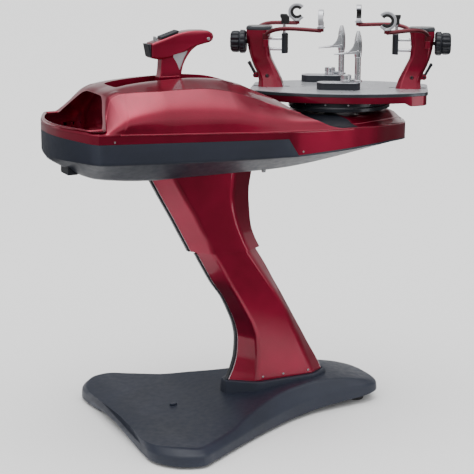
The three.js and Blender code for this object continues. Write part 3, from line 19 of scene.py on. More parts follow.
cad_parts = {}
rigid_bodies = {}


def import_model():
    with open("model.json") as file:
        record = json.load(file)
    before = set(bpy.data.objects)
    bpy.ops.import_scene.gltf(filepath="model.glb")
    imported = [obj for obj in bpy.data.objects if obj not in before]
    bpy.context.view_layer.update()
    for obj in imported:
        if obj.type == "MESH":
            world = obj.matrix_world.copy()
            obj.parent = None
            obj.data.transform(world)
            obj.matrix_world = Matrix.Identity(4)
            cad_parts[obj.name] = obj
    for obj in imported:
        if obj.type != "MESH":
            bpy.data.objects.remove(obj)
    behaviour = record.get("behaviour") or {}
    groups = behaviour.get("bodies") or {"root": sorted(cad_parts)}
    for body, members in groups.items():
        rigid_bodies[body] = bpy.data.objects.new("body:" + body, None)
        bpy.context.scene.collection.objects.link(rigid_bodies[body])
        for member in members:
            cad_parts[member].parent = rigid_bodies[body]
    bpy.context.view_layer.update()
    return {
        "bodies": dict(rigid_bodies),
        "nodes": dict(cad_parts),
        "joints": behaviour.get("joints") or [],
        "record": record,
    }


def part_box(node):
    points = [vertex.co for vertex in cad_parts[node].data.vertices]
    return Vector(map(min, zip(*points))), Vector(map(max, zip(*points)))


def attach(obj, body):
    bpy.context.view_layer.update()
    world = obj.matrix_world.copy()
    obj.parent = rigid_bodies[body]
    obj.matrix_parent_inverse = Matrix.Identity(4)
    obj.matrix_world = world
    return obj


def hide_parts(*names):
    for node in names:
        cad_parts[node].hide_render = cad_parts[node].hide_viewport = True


LOG = logging.getLogger("stringing_machine")
MM = 0.001
WELD = 0.002
SEAT_GAP = 0.3
RUN_GAP = 0.6
OVERRUN = 20.0
AXIS_GAP = 0.02
LEAN_SHARE = 0.53
SHARP_ANGLE = radians(31)
TABLE_X = 230.0

Point2 = tuple[float, float]
Point3 = tuple[float, float, float]
Row = tuple[float, ...]
Outline = Sequence[Sequence[float]]
Socket = bpy.types.NodeSocket


class Finish(Enum):
    """Finishes of the machine, each under the name of its material slot in the record."""

    RED_SHELL = "red_shell"
    RED_METAL = "red_metal"
    GREY_MOULDING = "grey_moulding"
    BLACK_PLASTIC = "black_plastic"
    RUBBER = "rubber"
    CHROME = "chrome"
    STEEL = "steel"
    SILVER = "silver"
    DARK_PLATE = "dark_plate"
    DARK_METAL = "dark_metal"
    CIRCUIT = "circuit"


Paints = dict[Finish, bpy.types.Material]


class Op(Enum):
    """Ways to combine two solids."""

    CUT = "DIFFERENCE"
    JOIN = "UNION"
    COMMON = "INTERSECT"


@dataclass(frozen=True)
class Solid:
    """A closed mesh in the drawing's millimetres."""

    points: np.ndarray
    faces: list[tuple[int, ...]]

    def turned(self, matrix: Matrix) -> "Solid":
        """Moves the solid.

        Args:
            matrix: The move, in millimetres.

        Returns:
            The moved solid.
        """
        table = np.array(matrix)
        return Solid(self.points @ table[:3, :3].T + table[:3, 3], self.faces)

    def at(self, x: float, y: float, z: float) -> "Solid":
        """Returns the solid moved by x, y and z."""
        return Solid(self.points + np.array([x, y, z]), self.faces)

    def with_(self, *others: "Solid") -> "Solid":
        """Puts several solids into one mesh without joining their skins.

        Args:
            others: The solids to add.

        Returns:
            One mesh that holds them all.
        """
        points, faces = [self.points], list(self.faces)
        start = len(self.points)
        for other in others:
            points.append(other.points)
            faces += [tuple(start + i for i in face) for face in other.faces]
            start += len(other.points)
        return Solid(np.vstack(points), faces)


class Stations:
    """A table of stations along one direction, read at any share of the way."""

    def __init__(self, rows: Sequence[Row]) -> None:
        """Keeps the table.

        Args:
            rows: The share of each station, followed by its values.
        """
        table = np.array(rows, float)
        self.shares, self.values = table[:, 0], table[:, 1:]

    def straight(self, share: float, column: int) -> float:
        """Returns one value between its neighbours in a straight line."""
        return float(np.interp(share, self.shares, self.values[:, column]))

    def smooth(self, shares: np.ndarray) -> np.ndarray:
        """Reads every value with a curve that never swings past the table.

        Args:
            shares: The places to read.

        Returns:
            One row of values for each place.
        """
        x, y = self.shares, self.values
        step = np.diff(x)[:, None]
        slope = np.diff(y, axis=0) / step
        tangent = np.zeros_like(y)
        tangent[0], tangent[-1] = slope[0], slope[-1]
        before, after = slope[:-1], slope[1:]
        weight_a, weight_b = 2 * step[1:] + step[:-1], step[1:] + 2 * step[:-1]
        same = before * after > 0
        safe_before, safe_after = np.where(same, before, 1), np.where(same, after, 1)
        middle = (weight_a + weight_b) / (weight_a / safe_before + weight_b / safe_after)
        tangent[1:-1] = np.where(same, middle, 0)
        cell = np.clip(np.searchsorted(x, shares) - 1, 0, len(x) - 2)
        t = ((shares - x[cell]) / (x[cell + 1] - x[cell]))[:, None]
        width = (x[cell + 1] - x[cell])[:, None]
        return (
            (2 * t**3 - 3 * t**2 + 1) * y[cell]
            + (t**3 - 2 * t**2 + t) * width * tangent[cell]
            + (3 * t**2 - 2 * t**3) * y[cell + 1]
            + (t**3 - t**2) * width * tangent[cell + 1]
        )

    def places(self, count: int) -> np.ndarray:
        """Count even shares with every station's own share among them.

        Args:
            count: Number of places.

        Returns:
            The values.
        """
        even = np.linspace(self.shares[0], self.shares[-1], count)
        gap = 0.4 * (even[1] - even[0])
        kept = [s for s in even if np.abs(self.shares - s).min() > gap]
        return np.sort(np.concatenate([self.shares, kept]))


def catmull(points: Sequence[Point2], steps: int) -> list[Point2]:
    """Runs a smooth curve through points.

    Args:
        points: The points to pass.
        steps: Number of pieces between two points.

    Returns:
        The points of the curve, its two ends among them.
    """
    table = [np.array(point, float) for point in points]
    curve = []
    for i in range(len(table) - 1):
        p0, p1, p2 = table[max(i - 1, 0)], table[i], table[i + 1]
        p3 = table[min(i + 2, len(table) - 1)]
        for k in range(steps):
            t = k / steps
            curve.append(0.5 * (2 * p1 + (p2 - p0) * t + (2 * p0 - 5 * p1 + 4 * p2 - p3) * t**2
                                + (3 * p1 - p0 - 3 * p2 + p3) * t**3))
    return [*curve, table[-1]]


def rounded(points: Outline, radii: float | Sequence[float], steps: int = 4,
            closed: bool = False) -> list[np.ndarray]:
    """Rounds the corners of a line.

    Args:
        points: The corners.
        radii: How far each rounding reaches along its sides, one for all or one for each corner.
        steps: Number of pieces in a corner.
        closed: Whether the line is a ring.

    Returns:
        The points of the rounded line, as many for every set of radii.
    """
    corners = [np.array(point, float) for point in points]
    reaches = [radii] * len(corners) if isinstance(radii, (int, float)) else list(radii)
    line = []
    for i, corner in enumerate(corners):
        if not closed and i in (0, len(corners) - 1):
            line.append(corner)
            continue
        before, after = corners[i - 1] - corner, corners[(i + 1) % len(corners)] - corner
        sides = [max(float(np.linalg.norm(side)), 1e-6) for side in (before, after)]
        reach = min(reaches[i], 0.46 * sides[0], 0.46 * sides[1])
        start, end = corner + before / sides[0] * reach, corner + after / sides[1] * reach
        for k in range(steps + 1):
            t = k / steps
            line.append((1 - t) ** 2 * start + 2 * t * (1 - t) * corner + t**2 * end)
    return line


def skin(rings: Sequence[np.ndarray], loop: bool = False) -> Solid:
    """Covers a row of rings with as many points each.

    Args:
        rings: The rings, in order.
        loop: Whether the last ring joins the first one, instead of a cap at each end.

    Returns:
        The closed solid.
    """
    table = np.array(rings, float)
    rows, count = table.shape[:2]
    faces = []
    for k in range(rows if loop else rows - 1):
        for i in range(count):
            j, n = (i + 1) % count, (k + 1) % rows
            faces.append((k * count + i, k * count + j, n * count + j, n * count + i))
    if not loop:
        faces.append(tuple(reversed(range(count))))
        faces.append(tuple(range((rows - 1) * count, rows * count)))
    return Solid(table.reshape(-1, 3), faces)


def lathe(profile: Outline, sides: int = 48, loop: bool = False) -> Solid:
    """Turns a profile round the Z axis.

    Args:
        profile: Radius and height of each point.
        sides: Number of faces round the axis.
        loop: Whether the profile is a ring of its own, as round a bore.

    Returns:
        The turned solid.
    """
    turn = [(cos(2 * pi * i / sides), sin(2 * pi * i / sides)) for i in range(sides)]
    rings = [[(max(r, AXIS_GAP) * c, max(r, AXIS_GAP) * s, z) for c, s in turn] for r, z in profile]
    return skin(rings, loop)


def drum(radius: float, z0: float, z1: float, edge: float = 1.0, sides: int = 40) -> Solid:
    """An upright round bar with rounded edges.

    Args:
        radius: Its radius.
        z0: Its bottom.
        z1: Its top.
        edge: Radius of its edges.
        sides: Number of faces round it.

    Returns:
        The bar, on the Z axis.
    """
    return lathe(rounded([(0, z0), (radius, z0), (radius, z1), (0, z1)], edge, 3), sides)


ALONG_X = Matrix.Rotation(pi / 2, 4, "Y")
ALONG_Y = Matrix.Rotation(-pi / 2, 4, "X")
SIDEWAYS = Matrix.Rotation(pi / 2, 4, "X")


def ellipse(radius_x: float, radius_y: float, count: int = 48) -> list[Point2]:
    """Returns the points of an oval about the origin."""
    return [(radius_x * cos(2 * pi * i / count), radius_y * sin(2 * pi * i / count)) for i in range(count)]


def box_outline(x0: float, x1: float, y0: float, y1: float, radius: float = 0.0) -> list[np.ndarray]:
    """A rectangle with rounded corners.

    Args:
        x0: Its left side.
        x1: Its right side.
        y0: Its near side.
        y1: Its far side.
        radius: Radius of its corners.

    Returns:
        The points of the outline.
    """
    corners = [(x0, y0), (x1, y0), (x1, y1), (x0, y1)]
    return rounded(corners, radius * 1.3, 5, closed=True) if radius else [np.array(p, float) for p in corners]


def arc(radius_x: float, radius_y: float, start: float, turn: float = pi, count: int = 25) -> list[Point2]:
    """Returns count points of an oval's arc about the origin, both of its ends among them."""
    angles = [start + i / (count - 1) * turn for i in range(count)]
    return [(radius_x * cos(angle), radius_y * sin(angle)) for angle in angles]


def signed_area(outline: Outline) -> float:
    """Returns the area inside an outline, below zero where it runs clockwise."""
    return sum(a[0] * b[1] - b[0] * a[1] for a, b in zip(outline, [*outline[1:], outline[0]])) / 2


def plate(outlines: Sequence[Outline], z0: float, z1: float, edge: float = 0.6, steps: int = 2) -> Solid:
    """A flat plate with openings and rounded edges.

    Args:
        outlines: The outer outline, followed by those of the openings.
        z0: Its bottom.
        z1: Its top.
        edge: Radius of every edge.
        steps: Number of pieces in an edge.

    Returns:
        The plate.
    """
    curve = bpy.data.curves.new("plate", "CURVE")
    curve.dimensions, curve.fill_mode = "2D", "BOTH"
    curve.extrude = (z1 - z0) / 2 - edge
    curve.bevel_depth, curve.bevel_resolution, curve.offset = edge, steps, -edge
    for index, outline in enumerate(outlines):
        points = list(outline)
        if (signed_area(points) > 0) != (index == 0):
            points.reverse()
        spline = curve.splines.new("POLY")
        spline.points.add(len(points) - 1)
        for point, place in zip(spline.points, points):
            point.co = (place[0], place[1], 0, 1)
        spline.use_cyclic_u = True
    holder = bpy.data.objects.new("plate", curve)
    bpy.context.scene.collection.objects.link(holder)
    solid = taken_from(holder)
    bpy.data.curves.remove(curve)
    return solid.at(0, 0, (z0 + z1) / 2)


def side_plate(outline: Outline, half: float, edge: float = 1.0, openings: Sequence[Outline] = ()) -> Solid:
    """Returns a side view outline in X and Z, pushed out to both sides of the middle plane."""
    return plate([outline, *openings], -half, half, edge).turned(SIDEWAYS)


def block(x0: float, x1: float, y0: float, y1: float, z0: float, z1: float, edge: float = 0.8) -> Solid:
    """Returns a block with rounded corners and edges."""
    return plate([box_outline(x0, x1, y0, y1, edge * 1.2)], z0, z1, edge)


def taken_from(holder: bpy.types.Object) -> Solid:
    """Takes the mesh of an object with its modifiers, and removes the object.

    Args:
        holder: The object.

    Returns:
        Its mesh as a solid, with doubled points merged.
    """
    graph = bpy.context.evaluated_depsgraph_get()
    mesh = bpy.data.meshes.new_from_object(holder.evaluated_get(graph), depsgraph=graph)
    work = bmesh.new()
    work.from_mesh(mesh)
    bmesh.ops.remove_doubles(work, verts=work.verts, dist=WELD)
    points = np.array([vert.co for vert in work.verts], float)
    work.verts.index_update()
    faces = [tuple(vert.index for vert in face.verts) for face in work.faces]
    work.free()
    bpy.data.meshes.remove(mesh)
    bpy.data.objects.remove(holder)
    return Solid(points, faces)


def raw_object(solid: Solid, name: str, scale: float = 1.0) -> bpy.types.Object:
    """Makes a Blender object of a solid.

    Args:
        solid: The solid.
        name: Name of the object.
        scale: Size of a drawing unit.

    Returns:
        The object, with its faces looking out.
    """
    mesh = bpy.data.meshes.new(name)
    mesh.from_pydata((solid.points * scale).tolist(), [], solid.faces)
    work = bmesh.new()
    work.from_mesh(mesh)
    bmesh.ops.recalc_face_normals(work, faces=work.faces)
    work.to_mesh(mesh)
    work.free()
    holder = bpy.data.objects.new(name, mesh)
    bpy.context.scene.collection.objects.link(holder)
    return holder


def combined(solid: Solid, op: Op, *others: Solid) -> Solid:
    """Cuts, joins or intersects solids.

    Args:
        solid: The solid to start from.
        op: What is done with the others.
        others: The other solids, taken one by one.

    Returns:
        The result.
    """
    target = raw_object(solid, "target")
    tools = [raw_object(other, "tool") for other in others]
    for tool in tools:
        modifier = target.modifiers.new("combine", "BOOLEAN")
        modifier.operation, modifier.object, modifier.solver = op.value, tool, "MANIFOLD"
    result = taken_from(target)
    for tool in tools:
        bpy.data.objects.remove(tool)
    return result


def cut(solid: Solid, *tools: Solid) -> Solid:
    """Returns the solid without what the tools fill."""
    return combined(solid, Op.CUT, *tools)


def joined(solid: Solid, *others: Solid) -> Solid:
    """Returns the solids grown together."""
    return combined(solid, Op.JOIN, *others)


def swept(path: Sequence[Sequence[float]], section: Sequence[Point2], closed: bool = False) -> Solid:
    """Sweeps a section along a path.

    Args:
        path: Points of the path.
        section: The section, across the path.
        closed: Whether the path is a ring.

    Returns:
        The swept solid.
    """
    places = [Vector(place) for place in path]
    count = len(places)
    side = Vector((0, 0, 1))
    rings = []
    for i, place in enumerate(places):
        behind = places[(i - 1) % count] if closed or i else place
        ahead = places[(i + 1) % count] if closed or i < count - 1 else place
        along = (ahead - behind).normalized()
        side = (side - along * side.dot(along))
        side = side.normalized() if side.length > 1e-4 else along.orthogonal().normalized()
        across = along.cross(side)
        rings.append([list(place + across * u + side * v) for u, v in section])
    return skin(rings, closed)


def smooth_path(points: Sequence[Sequence[float]], steps: int) -> list[np.ndarray]:
    """Returns a smooth path in space through a few points."""
    return [np.array(place) for place in catmull(points, steps)]


def mirrored_ring(x: float, half: Sequence[Sequence[float]]) -> list[Point3]:
    """A ring in a plane across X.

    Args:
        x: Place of the plane.
        half: Y and Z of its far half, from the bottom up.

    Returns:
        The whole ring, with its near half mirrored.
    """
    far = [(x, max(float(y), 0.0), float(z)) for y, z in half]
    near = [(x, -y, z) for _, y, z in reversed(far) if y > 0]
    return [*far, *near]


@dataclass(frozen=True)
class Mount:
    """Where a piece goes: the body it rides on, its finish and the CAD nodes it stands for."""

    body: str
    finish: Finish
    nodes: tuple[str, ...] = ()
    bevel: float = 0.0


@dataclass
class Workshop:
    """Turns solids into finished pieces on the frame."""

    paints: Paints
    shift: float
    count: int = 0
    table_turn: float = radians(-32)
    soft_angle: float = radians(38)
    weld_share: float = 0.7

    def table_frame(self, turn: float = 0.0) -> Matrix:
        """Returns the move from the turntable's own frame to the drawing's."""
        return Matrix.Translation((TABLE_X, 0, 0)) @ Matrix.Rotation(self.table_turn + turn, 4, "Z")

    def fit(self, solid: Solid, name: str, mount: Mount) -> bpy.types.Object:
        """Makes a finished piece of a solid.

        Args:
            solid: Its shape, in the drawing's frame.
            name: Its name.
            mount: Where it goes.

        Returns:
            The piece.
        """
        piece = raw_object(solid.at(self.shift, 0, 0), name, MM)
        if mount.bevel:
            weld = piece.modifiers.new("weld", "WELD")
            weld.merge_threshold = mount.bevel * self.weld_share * MM
            soft = piece.modifiers.new("edges", "BEVEL")
            soft.width, soft.segments, soft.limit_method = mount.bevel * MM, 2, "ANGLE"
            soft.angle_limit, soft.use_clamp_overlap = self.soft_angle, True
        piece.data.materials.append(self.paints[mount.finish])
        piece.data.shade_smooth()
        piece.data.set_sharp_from_angle(angle=SHARP_ANGLE)
        normals = piece.modifiers.new("normals", "WEIGHTED_NORMAL")
        normals.keep_sharp = True
        if mount.nodes:
            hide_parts(*mount.nodes)
        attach(piece, mount.body)
        self.count += 1
        LOG.info("%s rides on %s in %s, %d faces", name, mount.body, mount.finish.value, len(solid.faces))
        return piece


def wired(tree: bpy.types.NodeTree, kind: str, inputs: dict[str | int, object],
          **settings: str) -> bpy.types.Node:
    """Adds a node to a tree and feeds its sockets.

    Args:
        tree: The tree.
        kind: The node's kind.
        inputs: What goes into each socket: another node's socket, or a value.
        settings: The node's own settings.

    Returns:
        The node.
    """
    node = tree.nodes.new(f"ShaderNode{kind}")
    for name, value in settings.items():
        setattr(node, name, value)
    for name, value in inputs.items():
        if isinstance(value, Socket):
            tree.links.new(value, node.inputs[name])
        else:
            node.inputs[name].default_value = value
    return node


class Recipe:
    """Builds the nodes of one material."""

    def __init__(self, name: str) -> None:
        """Starts a material with its shader and output.

        Args:
            name: Name of the material.
        """
        self.material = bpy.data.materials.new(name)
        self.material.use_nodes = True
        self.tree = self.material.node_tree
        self.tree.nodes.clear()
        self.shader = wired(self.tree, "BsdfPrincipled", {})
        wired(self.tree, "OutputMaterial", {"Surface": self.shader.outputs["BSDF"]})
        self.place = self.add("TexCoord", {}, "Object")

    def add(self, kind: str, inputs: dict[str | int, object], output: str, **settings: str) -> Socket:
        """Adds a node and returns one of its outputs."""
        return wired(self.tree, kind, inputs, **settings).outputs[output]

    def set(self, **values: float | Sequence[float]) -> None:
        """Sets sockets of the shader by name, with _ for a space."""
        for name, value in values.items():
            self.shader.inputs[name.replace("_", " ").title().replace("Ior", "IOR")].default_value = value

    def noise(self, scale: float, detail: float = 2.0, stretch: Point3 = (1, 1, 1)) -> Socket:
        """A noise pattern over the piece.

        Args:
            scale: Waves in a metre.
            detail: Number of finer layers.
            stretch: How the pattern is drawn out along each axis.

        Returns:
            The pattern's value.
        """
        place = self.place
        if stretch != (1, 1, 1):
            place = self.add("Mapping", {"Vector": place, "Scale": stretch}, "Vector")
        return self.add("TexNoise", {"Vector": place, "Scale": scale, "Detail": detail}, "Fac")

    def cells(self, scale: float) -> Socket:
        """Returns a pattern of small random cells, as metal flakes have."""
        return self.add("TexVoronoi", {"Vector": self.place, "Scale": scale}, "Color")

    def spread(self, value: Socket, low: float, high: float, start: float = 0.3, end: float = 0.7) -> Socket:
        """Stretches a pattern between two values.

        Args:
            value: The pattern.
            low: Value at its start.
            high: Value at its end.
            start: Where the pattern starts to count.
            end: Where it stops.

        Returns:
            The new value.
        """
        inputs = {"Value": value, "From Min": start, "From Max": end, "To Min": low, "To Max": high}
        return self.add("MapRange", inputs, "Result")

    def tint(self, value: Socket, low: Point3, high: Point3) -> Socket:
        """Returns a colour between two, as a pattern says."""
        return self.add("Mix", {"Factor": value, "A": (*low, 1), "B": (*high, 1)}, "Result", data_type="RGBA")

    def edges(self, start: float = 0.52, end: float = 0.6) -> Socket:
        """Returns how much of an outer edge a place is."""
        return self.spread(self.add("NewGeometry", {}, "Pointiness"), 0.0, 1.0, start, end)

    def mixed(self, factor: Socket, base: Socket, wear_and_sheen: Point3, share: float) -> Socket:
        """Paints a second colour over a first one.

        Args:
            factor: Where it goes.
            base: The colour below.
            wear_and_sheen: The colour above: flake and grain specks, wear with a painted highlight on outer
                edges, and painted shade on the floor.
            share: How strong it is.

        Returns:
            The colour.
        """
        strength = self.spread(factor, 0.0, share, 0.0, 1.0)
        return self.add("Mix", {"Factor": strength, "A": base, "B": (*wear_and_sheen, 1)}, "Result", data_type="RGBA")

    def bump(self, value: Socket, depth: float, strength: float = 1.0, below: Socket | None = None) -> Socket:
        """Raises the surface by a pattern.

        Args:
            value: The pattern.
            depth: Height of the relief in millimetres.
            strength: Share of the effect.
            below: Another relief under it.

        Returns:
            The normal.
        """
        inputs = {"Distance": depth * MM, "Strength": strength, "Height": value}
        if below is not None:
            inputs["Normal"] = below
        return self.add("Bump", inputs, "Normal")

    def drive(self, name: str, value: Socket) -> None:
        """Feeds a socket of the shader from a pattern."""
        self.tree.links.new(value, self.shader.inputs[name])


@dataclass(frozen=True)
class Lacquer:
    """Metallic red lacquer under a clear coat."""

    dark: Point3 = (0.2, 0.003, 0.021)
    light: Point3 = (0.27, 0.0045, 0.031)
    wear_and_sheen: Point3 = (0.4, 0.02, 0.06)
    metal: float = 0.8
    rough: Point2 = (0.28, 0.36)
    flake: float = 900.0
    peel: float = 0.03

    def build(self, name: str) -> bpy.types.Material:
        """Builds the material.

        Args:
            name: Its name.

        Returns:
            The material.
        """
        recipe = Recipe(name)
        recipe.set(metallic=self.metal, specular_ior_level=0.2, coat_weight=0.85, coat_roughness=0.045,
                   coat_ior=1.42)
        cloud = recipe.tint(recipe.spread(recipe.noise(7.0, 3.0), 0.0, 1.0), self.dark, self.light)
        flakes = recipe.spread(recipe.cells(self.flake), 0.0, 1.0, 0.6, 1.0)
        speck = recipe.mixed(flakes, cloud, self.wear_and_sheen, 0.18)
        # Outer edges are lighter: wear, together with a painted highlight along edges and creases.
        recipe.drive("Base Color", recipe.mixed(recipe.edges(), speck, self.wear_and_sheen, 0.25))
        recipe.drive("Roughness", recipe.spread(recipe.noise(38.0, 4.0), *self.rough))
        recipe.drive("Coat Normal", recipe.bump(recipe.noise(110.0, 1.0), self.peel, 0.5))
        return recipe.material


@dataclass(frozen=True)
class Moulding:
    """Moulded plastic with a fine grain."""

    dark: Point3
    light: Point3
    wear_and_sheen: Point3
    rough: Point2 = (0.38, 0.5)
    grain: float = 900.0
    depth: float = 0.06
    level: float = 0.5

    def build(self, name: str) -> bpy.types.Material:
        """Builds the material.

        Args:
            name: Its name.

        Returns:
            The material.
        """
        recipe = Recipe(name)
        recipe.set(specular_ior_level=self.level)
        cloud = recipe.tint(recipe.spread(recipe.noise(9.0, 4.0), 0.0, 1.0), self.dark, self.light)
        grains = recipe.spread(recipe.noise(self.grain, 1.0), 0.0, 1.0, 0.55, 0.8)
        speck = recipe.mixed(grains, cloud, self.wear_and_sheen, 0.2)
        # Outer edges are much lighter: wear, together with a painted highlight along rims and creases.
        recipe.drive("Base Color", recipe.mixed(recipe.edges(), speck, self.wear_and_sheen, 0.55))
        recipe.drive("Roughness", recipe.spread(recipe.noise(60.0, 5.0), *self.rough))
        waves = recipe.bump(recipe.noise(24.0, 2.0), 0.25, 0.25)
        recipe.drive("Normal", recipe.bump(recipe.noise(self.grain, 3.0), self.depth, 0.8, below=waves))
        return recipe.material


@dataclass(frozen=True)
class BareMetal:
    """Metal with its working marks: brushed, turned, anodised or polished."""

    dark: Point3
    light: Point3
    rough: Point2
    stretch: Point3 = (1, 1, 1)
    lines: float = 300.0
    depth: float = 0.02
    metal: float = 1.0
    wear_and_sheen: Point3 = (0.7, 0.71, 0.73)

    def build(self, name: str) -> bpy.types.Material:
        """Builds the material.

        Args:
            name: Its name.

        Returns:
            The material.
        """
        recipe = Recipe(name)
        recipe.set(metallic=self.metal)
        marks = recipe.noise(self.lines, 3.0, self.stretch)
        cloud = recipe.tint(recipe.spread(recipe.noise(14.0, 4.0), 0.0, 1.0), self.dark, self.light)
        # Outer edges are lighter: wear, together with a painted highlight.
        recipe.drive("Base Color", recipe.mixed(recipe.edges(), cloud, self.wear_and_sheen, 0.4))
        recipe.drive("Roughness", recipe.spread(recipe.noise(45.0, 5.0), *self.rough))
        recipe.drive("Normal", recipe.bump(marks, self.depth, 0.7))
        return recipe.material


@dataclass(frozen=True)
class CircuitLacquer:
    """Green circuit board with paler tracks."""

    dark: Point3 = (0.006, 0.07, 0.024)
    light: Point3 = (0.02, 0.17, 0.06)
    tracks: float = 90.0

    def build(self, name: str) -> bpy.types.Material:
        """Builds the material.

        Args:
            name: Its name.

        Returns:
            The material.
        """
        recipe = Recipe(name)
        recipe.set(roughness=0.35, coat_weight=0.6)
        board = (*self.dark, 1)
        lines = wired(recipe.tree, "TexBrick", {
            "Vector": recipe.place, "Scale": self.tracks, "Mortar Size": 0.06, "Color1": board,
            "Color2": board, "Mortar": (*self.light, 1)}).outputs
        clouds = recipe.spread(recipe.noise(40.0), 0, 1)
        recipe.drive("Base Color", recipe.mixed(clouds, lines["Color"], self.dark, 0.4))
        recipe.drive("Normal", recipe.bump(lines["Fac"], 0.1, 0.6))
        return recipe.material


RECIPES = {
    Finish.RED_SHELL: Lacquer(),
    Finish.RED_METAL: Lacquer(dark=(0.09, 0.004, 0.011), light=(0.13, 0.006, 0.016), metal=0.75,
                              rough=(0.3, 0.4)),
    Finish.GREY_MOULDING: Moulding((0.011, 0.0142, 0.025), (0.0155, 0.0195, 0.034), (0.06, 0.07, 0.098),
                                   level=0.35),
    Finish.BLACK_PLASTIC: Moulding((0.006, 0.007, 0.011), (0.011, 0.013, 0.019), (0.045, 0.05, 0.062),
                                   rough=(0.34, 0.46), level=0.35),
    Finish.RUBBER: Moulding((0.008, 0.008, 0.009), (0.016, 0.016, 0.018), (0.04, 0.04, 0.042),
                            rough=(0.7, 0.88), depth=0.12),
    Finish.CHROME: BareMetal((0.56, 0.57, 0.6), (0.69, 0.7, 0.73), (0.16, 0.28), wear_and_sheen=(0.82, 0.83, 0.86)),
    Finish.STEEL: BareMetal((0.3, 0.31, 0.33), (0.42, 0.43, 0.45), (0.28, 0.42), stretch=(1, 1, 0.05)),
    Finish.SILVER: BareMetal((0.5, 0.51, 0.545), (0.6, 0.61, 0.645), (0.26, 0.38), lines=1200.0, metal=0.6),
    Finish.DARK_PLATE: BareMetal((0.055, 0.06, 0.072), (0.075, 0.08, 0.095), (0.16, 0.26),
                                 stretch=(0.05, 1, 1), metal=0.6, wear_and_sheen=(0.4, 0.41, 0.44)),
    Finish.DARK_METAL: BareMetal((0.012, 0.014, 0.019), (0.02, 0.023, 0.029), (0.16, 0.26), lines=900.0,
                                 metal=0.3, wear_and_sheen=(0.14, 0.15, 0.17)),
    Finish.CIRCUIT: CircuitLacquer(),
}


